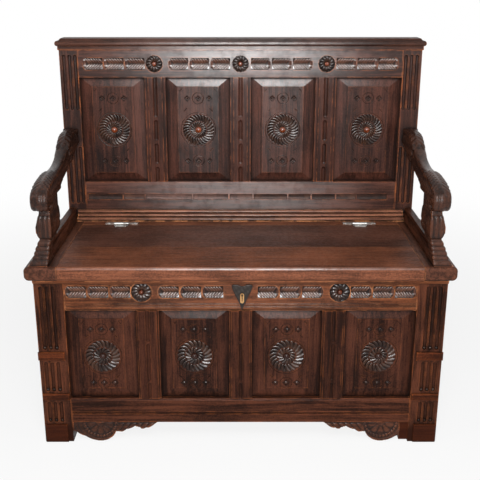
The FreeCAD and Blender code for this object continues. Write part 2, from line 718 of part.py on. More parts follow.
def chest_back_panel():
    reach = GROOVE_DEEP - FIT
    g0 = CHEST_BACK_FACE + SIDE_GROOVE_SET
    return slab(-BACK_INNER - reach, BACK_INNER + reach, g0 + FIT, g0 + GROOVE_WIDE - FIT,
                BOTTOM_RAIL_HIGH - reach, SIDE_TOP_LOW + reach)


def floor_slot(y_face, way):
    return between(-BACK_HALF, BACK_HALF, y_face, y_face + way * FLOOR_TONGUE,
                   FLOOR_LOW, FLOOR_LOW + FLOOR_THICK)


def corner_posts():
    stile = slab(STILE_IN - FIT, BASE_HALF, 0, STILE_DEEP + FIT, 0, SEAT_LOW)
    post = slab(BACK_INNER - FIT, BACK_HALF, BACK_FACE - FIT, CHEST_DEPTH, 0, SEAT_LOW)
    return [stile, post, mirrored(stile), mirrored(post)]


def chest_floor_boards():
    y0 = FRAME_THICK - FLOOR_TONGUE + FIT
    y1 = CHEST_BACK_FACE + FLOOR_TONGUE - FIT
    wide = 2 * SIDE_IN / FLOOR_BOARDS
    boards = []
    for step in range(FLOOR_BOARDS):
        x0 = -SIDE_IN + step * wide + FLOOR_GAP / 2
        board = slab(x0, x0 + wide - FLOOR_GAP, y0, y1, FLOOR_LOW + FIT, FLOOR_LOW + FLOOR_THICK - FIT)
        boards.append(board.cut(corner_posts()))
    return Part.makeCompound(boards)


# Seat
def seat_end():
    out = BASE_HALF + SEAT_END_OUT
    body = slab(SEAT_END_X, out, SEAT_FRONT, BACK_FACE, SEAT_LOW, SEAT_TOP)
    side = [e for e in body.Edges if e.BoundBox.XMin > out - FIT and e.BoundBox.ZLength < FIT]
    body = body.makeFillet(SEAT_NOSE, side)
    front = [e for e in body.Edges
             if e.BoundBox.YMax < SEAT_FRONT + FIT and e.BoundBox.XMax > SEAT_END_X + FIT]
    return body.makeFillet(LID_NOSE, front)


def lid_blank():
    body = slab(-LID_HALF, LID_HALF, SEAT_FRONT, LID_BACK, SEAT_LOW, SEAT_TOP)
    front = [e for e in body.Edges if e.BoundBox.YMax < SEAT_FRONT + FIT and e.BoundBox.ZLength < FIT]
    return body.makeFillet(LID_NOSE, front)


def lid_front_board():
    return lid_blank().common(slab(-LID_HALF, LID_HALF, SEAT_FRONT, LID_JOINT, SEAT_LOW, SEAT_TOP))


def lid_rear_board():
    board = slab(-LID_HALF, LID_HALF, LID_JOINT, LID_BACK, SEAT_LOW, SEAT_TOP)
    return board.cut([screw_hole(x, y) for x, y in lid_screw_places()])


def seat_rear_strip():
    front = slab(-SEAT_END_X, SEAT_END_X, STRIP_FRONT, BACK_FACE, SEAT_LOW, SEAT_TOP)
    rear = slab(-BACK_INNER, BACK_INNER, BACK_FACE, CHEST_DEPTH, SEAT_LOW, SEAT_TOP)
    body = front.fuse(rear).removeSplitter()
    return body.cut([screw_hole(x, y) for x, y in bar_screw_places()])


def seat_bed_moulding():
    z = SEAT_LOW
    shoulder_out, shoulder_down = BED_SHOULDER
    section = [(0, z - BED_HIGH), (-BED_FOOT, z - BED_HIGH), (-shoulder_out, z - shoulder_down),
               (-BED_OUT, z - BED_FILLET), (-BED_OUT, z), (0, z)]
    return prism(in_yz(section, -BASE_HALF), Vector(2 * BASE_HALF, 0, 0))


# Settle back
def back_frieze_rail():
    body = cross_rail(BACK_INNER, BACK_FRIEZE_LOW, POST_TOP, BACK_FACE, FRAME_THICK, GROOVE_SET,
                      True, False)
    place = muntin_pitch(back_opening()) + BACK_ROSETTE[0]
    starts = (BACK_GROUPS[0], place + BACK_GROUPS[1])
    cuts = leaf_pockets(starts, BACK_LEAF, BACK_FACE, BACK_FRIEZE_LOW)
    cuts += rosette_pockets((-place, 0, place), BACK_ROSETTE[1], BACK_FACE, BACK_LEAF, BACK_FRIEZE_LOW)
    return body.cut(cuts)


def back_bottom_rail():
    body = cross_rail(BACK_INNER, SEAT_TOP, BACK_RAIL_HIGH, BACK_FACE, FRAME_THICK, GROOVE_SET, False, True)
    cuts = []
    x = CHANNEL_START - BACK_INNER
    z = SEAT_TOP + CHANNEL_UP
    for run in CHANNEL_RUNS:
        cuts.append(slab(x, x + run - CHANNEL_BRIDGE, BACK_FACE - OVERCUT, BACK_FACE + CHANNEL_DEEP,
                         z - CHANNEL_HIGH / 2, z + CHANNEL_HIGH / 2))
        x += run
    return body.cut(cuts)


def back_foot_moulding():
    half = LOW_RAIL_FOOT - FIT
    y0 = BACK_FACE - FOOT_MOULD_OUT
    step_y = FOOT_MOULD_OUT / 3
    step_z = (FOOT_MOULD_HIGH - FOOT_MOULD_LIP) / 3
    r = step_z * FOOT_REED
    body = slab(-half, half, y0, BACK_FACE, SEAT_TOP, SEAT_TOP + FOOT_MOULD_LIP)
    for step in range(3):
        y = y0 + step * step_y + r
        z = SEAT_TOP + FOOT_MOULD_LIP + step * step_z
        body = body.fuse(slab(-half, half, y, BACK_FACE, z - FOOT_MOULD_LIP, z + step_z))
        body = body.fuse(rod(-half, y, z + step_z - r, r, 2 * half, Vector(1, 0, 0)))
    whole = slab(-half, half, y0, BACK_FACE, SEAT_TOP, SEAT_TOP + FOOT_MOULD_HIGH)
    return body.common(whole).removeSplitter()


def cornice():
    z1 = POST_TOP + CORNICE_BAND
    z2 = z1 + CORNICE_TORUS
    half = BACK_HALF + CORNICE_BAND_OUT
    body = slab(-half, half, BACK_FACE - CORNICE_BAND_OUT, CHEST_DEPTH, POST_TOP, z1)
    wide = BACK_HALF + CORNICE_TORUS_OUT
    roll = slab(-wide, wide, BACK_FACE - CORNICE_TORUS_OUT, CHEST_DEPTH, z1, z2)
    rounded = [e for e in roll.Edges if e.BoundBox.ZLength < FIT and e.BoundBox.YMin < BACK_FACE]
    roll = roll.makeFillet(CORNICE_ROUND, rounded)
    inner = BACK_HALF - CORNICE_TOP_IN
    base = [(-BACK_HALF, BACK_FACE), (BACK_HALF, BACK_FACE), (BACK_HALF, CHEST_DEPTH),
            (-BACK_HALF, CHEST_DEPTH)]
    upper = [(-inner, BACK_FACE + CORNICE_TOP_IN), (inner, BACK_FACE + CORNICE_TOP_IN),
             (inner, CHEST_DEPTH), (-inner, CHEST_DEPTH)]
    wires = []
    for ring, z in ((base, z2), (upper, z2 + CORNICE_CAP)):
        wires.append(Part.makePolygon([Vector(x, y, z) for x, y in ring + ring[:1]]))
    return body.fuse([roll, Part.makeLoft(wires, True, True)])


# Arms, supports and low side rails
def arm_top_points():
    return shifted(ARM_TOP_REAR, BACK_FACE, SEAT_TOP) + shifted(ARM_TOP_FRONT, 0, SEAT_TOP)


def arm_scroll_points():
    return shifted(ARM_SCROLL, 0, SEAT_TOP)


def arm_under_points():
    rear = shifted(ARM_UNDER_REAR, BACK_FACE, SEAT_TOP)
    return arm_scroll_points()[-1:] + shifted(ARM_UNDER_FRONT, 0, SEAT_TOP) + rear


def arm_tenon(slack):
    x_mid = BACK_HALF - (ARM_IN_BACK - ARM_OUT) / 2
    z_mid = SEAT_TOP + (ARM_TOP_REAR[0][1] + ARM_UNDER_REAR[-1][1]) / 2
    half_wide = ARM_TENON_WIDE / 2 - slack
    half_high = ARM_TENON_HIGH / 2 - slack
    return slab(x_mid - half_wide, x_mid + half_wide, BACK_FACE - OVERCUT, BACK_FACE + ARM_TENON_LONG - slack,
                z_mid - half_high, z_mid + half_high)


def arm():
    top = arm_top_points()
    under = arm_under_points()
    outer = BACK_HALF + ARM_OUT
    edges = [smooth(in_yz(top, 0)), smooth(in_yz(top[-1:] + arm_scroll_points(), 0)), smooth(in_yz(under, 0))]
    edges.append(Part.makeLine(in_yz(under[-1:], 0)[0], in_yz(top[:1], 0)[0]))
    side_view = Part.Face(Part.Wire(edges)).extrude(Vector(outer + SEAT_THICK, 0, 0))
    front = 2 * DEPTH_FRONT
    inner_front = BACK_HALF - ARM_IN_FRONT
    inner_back = BACK_HALF - ARM_IN_BACK
    outer_back = BACK_HALF + ARM_OUT_BACK
    start, end = ARM_TAPER
    plan = [(inner_front, front), (inner_front, start), (inner_back, end), (inner_back, BACK_FACE),
            (outer_back, BACK_FACE), (outer_back, end), (outer, start), (outer, front)]
    plan_view = prism([Vector(x, y, SEAT_TOP) for x, y in plan], Vector(0, 0, BACK_RISE))
    return side_view.common(plan_view).fuse(arm_tenon(FIT))


def arm_support(arm_shape):
    x_far = BASE_HALF + SEAT_END_OUT
    front = DEPTH_FRONT
    front_view = prism(in_xz(shifted(SUPPORT_OUTER + SUPPORT_INNER, BACK_HALF, SEAT_TOP), front),
                       Vector(0, LID_JOINT, 0))
    side_view = prism(in_yz(shifted(SUPPORT_BACK + SUPPORT_FRONT, 0, SEAT_TOP), 0), Vector(x_far, 0, 0))
    under = in_yz(arm_under_points(), 0)
    high = SEAT_TOP + BACK_RISE
    corners = [Vector(0, BACK_FACE, high), Vector(0, front, high), Vector(0, front, under[0].z)]
    path = [under[-1]] + corners + [under[0]]
    lines = [Part.makeLine(a, b) for a, b in zip(path, path[1:])]
    above = Part.Face(Part.Wire([smooth(under)] + lines)).extrude(Vector(x_far, 0, 0))
    return front_view.common(side_view).cut([above, arm_shape])


def seat_side_rail():
    inner = BACK_HALF - LOW_RAIL_WIDE
    top = SEAT_TOP + LOW_RAIL_RISE
    edge = LOW_RAIL_EDGE
    neck, foot = LOW_RAIL_NECK
    base = SEAT_TOP + LOW_RAIL_BASE
    section = [(BACK_HALF, SEAT_TOP), (BACK_HALF, top - edge), (BACK_HALF - edge, top), (inner + edge, top),
               (inner, top - edge), (inner, top - neck), (inner - edge, top - foot), (LOW_RAIL_FOOT, base),
               (LOW_RAIL_FOOT, SEAT_TOP)]
    return prism(in_xz(section, LOW_RAIL_FRONT), Vector(0, BACK_FACE - LOW_RAIL_FRONT, 0))


# Hinges
def screw(x, y):
    top = SEAT_TOP + LEAF_THICK
    head = rod(x, y, top, SCREW_HEAD_R, SCREW_HEAD_HIGH, Vector(0, 0, 1))
    shank = rod(x, y, top - SCREW_LONG, SCREW_R, SCREW_LONG + SCREW_HEAD_HIGH / 2, Vector(0, 0, 1))
    return head.fuse(shank)


def screw_hole(x, y):
    return rod(x, y, SEAT_TOP - SCREW_LONG, SCREW_R + SCREW_FIT, SCREW_LONG + LEAF_THICK + OVERCUT,
               Vector(0, 0, 1))


def bar_mid_y():
    return STRIP_FRONT + KNUCKLE_R + HINGE_BAR[1] / 2 + BAR_SET


def bar_screw_places():
    wide = HINGE_BAR[0]
    return [(side * HINGE_X + step * wide, bar_mid_y()) for side in (-1, 1) for step in BAR_SCREWS]


def tongue_mid_y():
    return LID_BACK - HINGE_TONGUE[1] / 2


def lid_screw_places():
    wide = HINGE_TONGUE[0]
    return [(side * HINGE_X + step * wide, tongue_mid_y()) for side in (-1, 1) for step in LID_SCREWS]


def along_axis(x0, x1, r):
    return rod(x0, HINGE_Y, HINGE_Z, r, x1 - x0, Vector(1, 0, 0))


def knuckle(x0, x1, bore):
    return along_axis(x0, x1, KNUCKLE_R).cut(along_axis(x0 - OVERCUT, x1 + OVERCUT, bore))


def hinge_fixed_leaf(x):
    wide, deep = HINGE_BAR
    y0 = bar_mid_y() - deep / 2
    top = SEAT_TOP + LEAF_THICK
    body = slab(x - wide / 2, x + wide / 2, y0, y0 + deep, SEAT_TOP, top)
    half = HINGE_TONGUE[0] / 2
    inner = CENTRE_KNUCKLE / 2 + KNUCKLE_GAP
    bore = PIN_R + PIN_SEAT
    for a, b in ((x - half, x - inner), (x + inner, x + half)):
        web = slab(a, b, HINGE_Y, y0 + OVERCUT, SEAT_TOP, top).cut(along_axis(a - OVERCUT, b + OVERCUT, bore))
        body = body.fuse([web, knuckle(a, b, bore)])
    holes = [screw_hole(px, py) for px, py in bar_screw_places()]
    return body.cut(holes + [along_axis(x - inner, x + inner, KNUCKLE_R + KNUCKLE_GAP)])


def hinge_lid_leaf(x):
    wide, deep = HINGE_TONGUE
    half = CENTRE_KNUCKLE / 2
    bore = PIN_R + PIN_FIT
    neck = LID_BACK - KNUCKLE_R
    tip = LID_BACK - deep
    right = [(half, HINGE_Y), (half, neck), (wide / 2, neck - OVERCUT), (wide / 2 - TONGUE_TAPER, tip)]
    outline = [(x - a, y) for a, y in right] + [(x + a, y) for a, y in reversed(right)]
    plate = prism([Vector(px, py, SEAT_TOP) for px, py in outline], Vector(0, 0, LEAF_THICK))
    plate = plate.cut(along_axis(x - half - OVERCUT, x + half + OVERCUT, bore))
    body = plate.fuse(knuckle(x - half, x + half, bore))
    return body.cut([screw_hole(px, py) for px, py in lid_screw_places()])


def hinge_pin(x):
    half = HINGE_TONGUE[0] / 2 + PIN_OVER
    return along_axis(x - half, x + half, PIN_R)


# Lock
def rounded_slot(half, z0, z1, y0, y1):
    body = slab(LOCK_X - half, LOCK_X + half, y0, y1, z0 + half, z1 - half)
    ends = [rod(LOCK_X, y0, z, half, y1 - y0, Vector(0, 1, 0)) for z in (z0 + half, z1 - half)]
    return body.fuse(ends).removeSplitter()


def keyhole_body(y0, y1, slack):
    return rounded_slot(KEYHOLE_HALF + slack, KEYHOLE_LOW - slack, KEYHOLE_HIGH + slack, y0, y1)


def keyhole_bush():
    proud = -ESCUTCHEON_THICK - KEYHOLE_PROUD
    eye_z = KEYHOLE_HIGH - KEYHOLE_HALF
    through = KEYHOLE_SUNK - proud + 2 * OVERCUT
    key_eye = rod(LOCK_X, proud - OVERCUT, eye_z, KEYHOLE_HALF - KEYHOLE_WALL, through, Vector(0, 1, 0))
    key_slot = slab(LOCK_X - KEYHOLE_SLOT, LOCK_X + KEYHOLE_SLOT, proud - OVERCUT, KEYHOLE_SUNK + OVERCUT,
                    KEYHOLE_LOW + KEYHOLE_HALF, eye_z)
    return keyhole_body(proud, KEYHOLE_SUNK, 0).cut([key_eye, key_slot])


def escutcheon():
    half = ESCUTCHEON_HALF
    low = SEAT_LOW - ESCUTCHEON_DOWN[0]
    high = SEAT_LOW - ESCUTCHEON_DOWN[1]
    ear = high - ESCUTCHEON_EAR
    side = [(half, ear)] + [(a, SEAT_LOW - down) for a, down in ESCUTCHEON_WAIST] + [(0, low)]
    top = [(-half, ear), (-half / 2, high), (0, high - ESCUTCHEON_DIP), (half / 2, high), (half, ear)]
    right = smooth(in_xz([(LOCK_X + a, z) for a, z in side], 0))
    left = smooth(in_xz([(LOCK_X - a, z) for a, z in reversed(side)], 0))
    upper = smooth(in_xz([(LOCK_X + a, z) for a, z in top], 0))
    plate = Part.Face(Part.Wire([right, left, upper])).extrude(Vector(0, -ESCUTCHEON_THICK, 0))
    return plate.cut(keyhole_body(-ESCUTCHEON_THICK - OVERCUT, OVERCUT, FIT))


def lock_case():
    low = SEAT_LOW - LOCK_DOWN[0]
    high = SEAT_LOW - LOCK_DOWN[1]
    y0 = FRAME_THICK + LOCK_WALL
    y1 = FRAME_THICK + LOCK_DEEP - LOCK_WALL
    half = LOCK_HALF - LOCK_WALL
    floor = low + LOCK_WALL
    eye_z = KEYHOLE_HIGH - KEYHOLE_HALF
    outer = slab(LOCK_X - LOCK_HALF, LOCK_X + LOCK_HALF, FRAME_THICK, y1 + LOCK_WALL, low, high)
    hollow = slab(LOCK_X - half, LOCK_X + half, y0, y1, floor, high - LOCK_WALL)
    slot = slab(TONGUE_X - LOCK_SLOT_ROOM, TONGUE_X + TONGUE_THICK + LOCK_SLOT_ROOM, y0, y1,
                high - LOCK_WALL - OVERCUT, high + OVERCUT)
    key_way = rod(LOCK_X, FRAME_THICK - OVERCUT, eye_z, KEYHOLE_HALF - KEYHOLE_WALL, LOCK_WALL + 2 * OVERCUT,
                  Vector(0, 1, 0))
    shelf = slab(bolt_back(), bolt_back() + BOLT_SHELF, y0, y1, floor, BOLT_Z - BOLT_HIGH / 2 - BOLT_PLAY)
    key_room = slab(LOCK_X - KEY_ROOM, LOCK_X + KEY_ROOM, y0, y1, floor, KEYHOLE_HIGH)
    return outer.cut([hollow, slot, key_way]).fuse(shelf.cut(key_room))


def bolt_back():
    return TONGUE_X - BOLT_SHORT - BOLT_LONG


def bolt_mid_y():
    return TONGUE_FRONT + TONGUE_DEEP / 2


def lock_bolt():
    y_mid = bolt_mid_y()
    return slab(bolt_back(), bolt_back() + BOLT_LONG, y_mid - BOLT_THICK / 2, y_mid + BOLT_THICK / 2,
                BOLT_Z - BOLT_HIGH / 2, BOLT_Z + BOLT_HIGH / 2)


def lock_staple():
    plate_half, plate_thick = TONGUE_PLATE
    x_mid = TONGUE_X + TONGUE_THICK / 2
    y_back = TONGUE_FRONT + TONGUE_DEEP
    plate = slab(x_mid - plate_half, x_mid + plate_half, TONGUE_FRONT - TONGUE_PLATE_OVER,
                 y_back + TONGUE_PLATE_OVER, SEAT_LOW - plate_thick, SEAT_LOW)
    tongue = slab(TONGUE_X, TONGUE_X + TONGUE_THICK, TONGUE_FRONT, y_back, SEAT_LOW - TONGUE_DOWN, SEAT_LOW)
    half_eye = BOLT_THICK / 2 + BOLT_PLAY
    half_high = BOLT_HIGH / 2 + BOLT_EYE_ROOM
    eye = slab(TONGUE_X - OVERCUT, TONGUE_X + TONGUE_THICK + OVERCUT, bolt_mid_y() - half_eye,
               bolt_mid_y() + half_eye, BOLT_Z - half_high, BOLT_Z + half_high)
    return plate.fuse(tongue).cut(eye)


def make_chest():
    opening = front_opening()
    save_pair(front_stile(), "front_stile")
    save(front_frieze_rail(), "front_frieze_rail")
    save(front_bottom_rail(), "front_bottom_rail")
    for x, place in zip(muntin_places(opening), ("left", "centre", "right")):
        save(grooved_muntin(x, BOTTOM_RAIL_HIGH, FRIEZE_LOW, 0, MUNTIN_EDGE, FLUTE_R, FRONT_STOPS),
             "front_muntin_" + place)
    for number, x in enumerate(panel_places(opening), 1):
        save(carved_panel(x, opening, BOTTOM_RAIL_HIGH, FRIEZE_LOW, 0, FRONT_MARGINS, FRONT_ROUNDEL_UP,
                          FRONT_STARS), "front_panel_" + str(number))
    save(mirrored(apron()), "apron_left")
    save(apron().cut(foot_packing()), "apron_right")
    save(stile_blocks(), "stile_blocks")
    save_pair(side_rail(SIDE_TOP_LOW, SEAT_LOW, False), "side_top_rail")
    save_pair(side_rail(BOTTOM_RAIL_LOW, BOTTOM_RAIL_HIGH, True), "side_bottom_rail")
    save_pair(side_panel(), "side_panel")
    save(chest_back_rail(SIDE_TOP_LOW, SEAT_LOW, False), "chest_back_top_rail")
    save(chest_back_rail(BOTTOM_RAIL_LOW, BOTTOM_RAIL_HIGH, True).cut(floor_slot(CHEST_BACK_FACE, 1)),
         "chest_back_bottom_rail")
    save(chest_back_panel(), "chest_back_panel")
    save(chest_floor_boards(), "chest_floor_boards")


def make_seat():
    save_pair(seat_end(), "seat_end")
    save(seat_rear_strip(), "seat_rear_strip")
    save(seat_bed_moulding(), "seat_bed_moulding")
    save(lid_front_board(), "lid_front_board")
    save(lid_rear_board(), "lid_rear_board")
    arm_shape = arm()
    save_pair(arm_shape, "arm")
    save_pair(arm_support(arm_shape), "arm_support")
    save_pair(seat_side_rail(), "seat_side_rail")


def make_back():
    opening = back_opening()
    save_pair(rear_post(), "rear_post")
    save(back_frieze_rail(), "back_frieze_rail")
    save(back_bottom_rail(), "back_bottom_rail")
    save(back_foot_moulding(), "back_foot_moulding")
    for x, place in zip(muntin_places(opening), ("left", "centre", "right")):
        save(grooved_muntin(x, BACK_RAIL_HIGH, BACK_FRIEZE_LOW, BACK_FACE, BACK_MUNTIN_EDGE,
                            BACK_CHANNEL_HALF, BACK_STOPS), "back_muntin_" + place)
    for number, x in enumerate(panel_places(opening), 1):
        save(carved_panel(x, opening, BACK_RAIL_HIGH, BACK_FRIEZE_LOW, BACK_FACE, BACK_MARGINS,
                          BACK_ROUNDEL_UP, BACK_STARS), "back_panel_" + str(number))
    save(cornice(), "cornice")
    front_z = roundel_z(BOTTOM_RAIL_HIGH, FRIEZE_LOW, FRONT_ROUNDEL_UP)
    back_z = roundel_z(BACK_RAIL_HIGH, BACK_FRIEZE_LOW, BACK_ROUNDEL_UP)
    bosses = [boss(x, 0, front_z) for x in panel_places(front_opening())]
    bosses += [boss(x, BACK_FACE, back_z) for x in panel_places(opening)]
    save(Part.makeCompound(bosses), "panel_bosses")


def make_ironwork():
    sides = (-HINGE_X, HINGE_X)
    save(Part.makeCompound([hinge_fixed_leaf(x) for x in sides]), "hinge_fixed_leaves")
    save(Part.makeCompound([hinge_lid_leaf(x) for x in sides]), "hinge_lid_leaves")
    save(Part.makeCompound([hinge_pin(x) for x in sides]), "hinge_pins")
    save(Part.makeCompound([screw(x, y) for x, y in bar_screw_places()]), "hinge_screws_seat")
    save(Part.makeCompound([screw(x, y) for x, y in lid_screw_places()]), "hinge_screws_lid")
    save(escutcheon(), "escutcheon")
    save(keyhole_bush(), "keyhole_bush")
    save(lock_case(), "lock_case")
    save(lock_bolt(), "lock_bolt")
    save(lock_staple(), "lock_staple")


os.makedirs("parts", exist_ok=True)
make_chest()
make_seat()
make_back()
make_ironwork()
print("hinge axis", [0.0, round(HINGE_Y - MID_DEPTH, 3), round(HINGE_Z, 3)])
print("height", POST_TOP + CORNICE_BAND + CORNICE_TORUS + CORNICE_CAP)
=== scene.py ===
# %% [markdown]
# # A carved oak settle bench
# The bench is a low chest with a hinged seat, two arms and a panelled back, joined from dark waxed
# oak. Its joinery comes ready made as a fixed frame, one named piece for each rail, post, panel and
# board. What is left for this lesson is what a carver and a polisher would add: the whorled
# roundels, leaf work, reeds and scrolls, and the look of old wax on old oak.

# %% Load the frame
import json
import math
from types import SimpleNamespace

import bpy
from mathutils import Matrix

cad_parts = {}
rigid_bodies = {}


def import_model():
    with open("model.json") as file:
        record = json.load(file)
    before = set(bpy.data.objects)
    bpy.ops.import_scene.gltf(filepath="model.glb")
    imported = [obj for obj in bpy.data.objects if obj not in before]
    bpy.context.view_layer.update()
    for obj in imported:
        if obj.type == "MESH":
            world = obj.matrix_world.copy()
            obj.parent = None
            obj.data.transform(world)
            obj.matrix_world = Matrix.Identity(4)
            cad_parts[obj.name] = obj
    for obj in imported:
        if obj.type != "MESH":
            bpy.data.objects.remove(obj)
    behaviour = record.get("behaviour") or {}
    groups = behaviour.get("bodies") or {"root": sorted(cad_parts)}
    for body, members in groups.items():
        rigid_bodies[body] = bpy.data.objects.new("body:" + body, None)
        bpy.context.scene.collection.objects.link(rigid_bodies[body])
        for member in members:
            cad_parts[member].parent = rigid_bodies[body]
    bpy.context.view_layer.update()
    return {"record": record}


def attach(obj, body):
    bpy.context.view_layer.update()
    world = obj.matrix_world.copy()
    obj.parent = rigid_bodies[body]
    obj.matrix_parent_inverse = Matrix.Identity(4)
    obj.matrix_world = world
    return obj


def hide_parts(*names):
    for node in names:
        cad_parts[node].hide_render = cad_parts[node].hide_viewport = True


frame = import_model()

# %% [markdown]
# ## The camera
# The bench is seen from straight in front, a little above the top of its back and looking down by
# 18 degrees. The distance matters more than the lens: it sets how steeply the arms run inwards, so
# the distance was worked out from the arms first and the lens was then chosen to fill the picture.

# %% Set up the camera
PITCH = 18.05
EYE = (-0.0015, -2.189, 1.221)
SENSOR = 36.0
FOCAL_PIXELS = 814
PICTURE = 480
camera_data = bpy.data.cameras.new("settle_camera")
camera_data.sensor_width = SENSOR
camera_data.lens = SENSOR * FOCAL_PIXELS / PICTURE
camera_data.clip_end = 400
camera = bpy.data.objects.new("settle_camera", camera_data)
camera.location = EYE
camera.rotation_euler = (math.radians(90 - PITCH), 0, 0)
bpy.context.scene.collection.objects.link(camera)
bpy.context.scene.camera = camera
bpy.context.scene.view_settings.view_transform = "Standard"
print("lens", round(camera_data.lens, 2), "mm")

# %% [markdown]
# ## Shader arithmetic
# Wood needs a good deal of arithmetic: fibre times pore, one minus wear. Typing a node for every
# plus sign hides the idea, so one small class wraps a socket and lets Python's own operators add
# the Math nodes. Every other kind of node comes from one method that takes the node's type, its
# settings and its sockets.

# %% Write sockets as plain arithmetic
class Strand:
    """A socket of a node tree that can be added, taken away and multiplied as a number."""

    def __init__(self, tree, socket=None):
        self.tree = tree
        self.socket = socket

    def node(self, kind, settings=None, inputs=None, out=0):
        """Add one node: its type, then its settings, then the values or strands of its sockets."""
        made = self.tree.nodes.new(kind)
        for key, value in (settings or {}).items():
            setattr(made, key, value)
        for key, value in (inputs or {}).items():
            if isinstance(value, Strand):
                self.tree.links.new(value.socket, made.inputs[key])
            else:
                made.inputs[key].default_value = value
        return Strand(self.tree, made.outputs[out] if made.outputs else None)

    def sum(self, operation, first, second=0.0):
        """Add one Math node."""
        return self.node("ShaderNodeMath", {"operation": operation}, {0: first, 1: second})

    def __add__(self, other):
        return self.sum("ADD", self, other)

    def __radd__(self, other):
        return self.sum("ADD", other, self)

    def __sub__(self, other):
        return self.sum("SUBTRACT", self, other)

    def __rsub__(self, other):
        return self.sum("SUBTRACT", other, self)

    def __mul__(self, other):
        return self.sum("MULTIPLY", self, other)

    def __rmul__(self, other):
        return self.sum("MULTIPLY", other, self)

    def ramp(self, low, high, to_low=0.0, to_high=1.0):
        """Map the span from low to high onto another, clamped, with a smooth start and end."""
        return self.node("ShaderNodeMapRange", {"interpolation_type": "SMOOTHSTEP"},
                         {0: self, 1: low, 2: high, 3: to_low, 4: to_high})

    def tint(self, share, first, second):
        """Mix two colours by a share from 0 to 1."""
        return self.node("ShaderNodeMix", {"data_type": "RGBA"}, {0: share, 6: first, 7: second}, out=2)

    def axis(self, number):
        """The x, y or z part of a vector, for 0, 1 or 2."""
        return self.node("ShaderNodeSeparateXYZ", inputs={0: self}, out=number)


def new_tree(name):
    """A new material with an empty tree: the material and a strand to start from."""
    material = bpy.data.materials.new(name)
    material.use_nodes = True
    material.node_tree.nodes.clear()
    return material, Strand(material.node_tree)


def colour(red, green, blue):
    """A colour given as a screen shows it, 0 to 255, in the linear light that shaders use."""
    return tuple(round(((c / 255 + 0.055) / 1.055) ** 2.4 if c > 10 else c / 3295, 5)
                 for c in (red, green, blue)) + (1,)


print("a screen's mid grey is", colour(128, 128, 128)[0], "in linear light")

# %% [markdown]
# ## The floor, the walls of light and the lamps
# The bench was pictured against plain white with a soft lamp near the camera. A pale floor is a
# plane, but a plane alone turns grey towards the horizon, so what a camera or a reflection sees of
# it is partly its own white, more so far away, while near the bench enough of the plain floor is
# left to carry the shadow. The world does the same behind it.

# %% Lay the floor
WHITE = (1, 1, 1, 1)
FLOOR_PAINT = (0.86, 0.86, 0.86, 1)
FLOOR_SIZE = 160
WHITE_FROM, WHITE_TO = 0.9, 3.0
WHITE_NEAR = 0.84


def seen_directly(start):
    """1 for rays from the camera and for reflections, 0 for the light that falls on the bench."""
    outputs = start.node("ShaderNodeLightPath").socket.node.outputs
    glossy = Strand(start.tree, outputs["Is Glossy Ray"])
    through = Strand(start.tree, outputs["Is Transmission Ray"])
    direct = Strand(start.tree, outputs["Is Camera Ray"])
    return start.sum("MINIMUM", direct + glossy + through, 1.0)


bpy.ops.object.select_all(action="DESELECT")
bpy.ops.mesh.primitive_plane_add(size=FLOOR_SIZE, location=(0, 0, 0))
floor = bpy.context.object
floor.name = "pale_floor"
floor_finish, start = new_tree("pale_floor")
spot = start.node("ShaderNodeNewGeometry", out=0)
reach = start.node("ShaderNodeVectorMath", {"operation": "LENGTH"}, {0: spot}, out=1)
share = reach.ramp(WHITE_FROM, WHITE_TO, WHITE_NEAR, 1.0) * seen_directly(start)
matt = start.node("ShaderNodeBsdfDiffuse", inputs={"Color": FLOOR_PAINT})
glow = start.node("ShaderNodeEmission", inputs={"Color": WHITE, "Strength": 1.0})
mixed = start.node("ShaderNodeMixShader", inputs={0: share, 1: matt, 2: glow})
start.node("ShaderNodeOutputMaterial", inputs={"Surface": mixed})
floor.data.materials.append(floor_finish)
print("floor reaches", FLOOR_SIZE / 2, "m")

# %% Light the room
ROOM_LIGHT = 0.20
world = bpy.data.worlds.new("white_room")
bpy.context.scene.world = world
world.use_nodes = True
world.node_tree.nodes.clear()
start = Strand(world.node_tree)
room = start.node("ShaderNodeBackground", inputs={"Color": WHITE, "Strength": ROOM_LIGHT})
wall = start.node("ShaderNodeBackground", inputs={"Color": WHITE, "Strength": 1.0})
mixed = start.node("ShaderNodeMixShader", inputs={0: seen_directly(start), 1: room, 2: wall})
start.node("ShaderNodeOutputWorld", inputs={"Surface": mixed})
print("room light", ROOM_LIGHT)


# %% Hang the lamps
def soft_lamp(name, place, aim, size, power):
    """A round area lamp that faces a point."""
    data = bpy.data.lights.new(name, "AREA")
    data.shape = "DISK"
    data.size = size
    data.energy = power
    lamp = bpy.data.objects.new(name, data)
    lamp.location = place
    x, y, z = [a - p for a, p in zip(aim, place)]
    lamp.rotation_euler = (math.atan2(math.hypot(x, y), -z), 0, math.atan2(-x, y))
    bpy.context.scene.collection.objects.link(lamp)


soft_lamp("lamp_by_camera", (0.04, -2.35, 1.02), (0, 0, 0.6), 0.65, 34)
soft_lamp("lamp_high_front", (0.05, -1.8, 2.0), (0, 0, 0.55), 0.85, 24)
soft_lamp("lamp_high_left", (-1.9, -1.2, 2.2), (0, 0, 0.5), 0.9, 7)
soft_lamp("lamp_high_right", (1.9, -1.0, 2.2), (0, 0, 0.5), 0.9, 6)
print(len(bpy.data.lights), "lamps lit")

# %% [markdown]
# ## The figure of the wood
# Sawn oak shows bands a hand wide, rings a finger wide, fibres and open pores, all drawn out along
# the board. Noise that is stretched along the grain gives each of them at its own width. Four more
# noises aren't stretched, because they come from use and not from the tree: clouds of darker wax,
# blotches that the duster missed, small scuffs and a fine speckle.

# %% Draw the grain
STRETCH = 0.05
GRAIN = {"x": (STRETCH, 1, 1), "y": (1, STRETCH, 1), "z": (1, 1, STRETCH)}


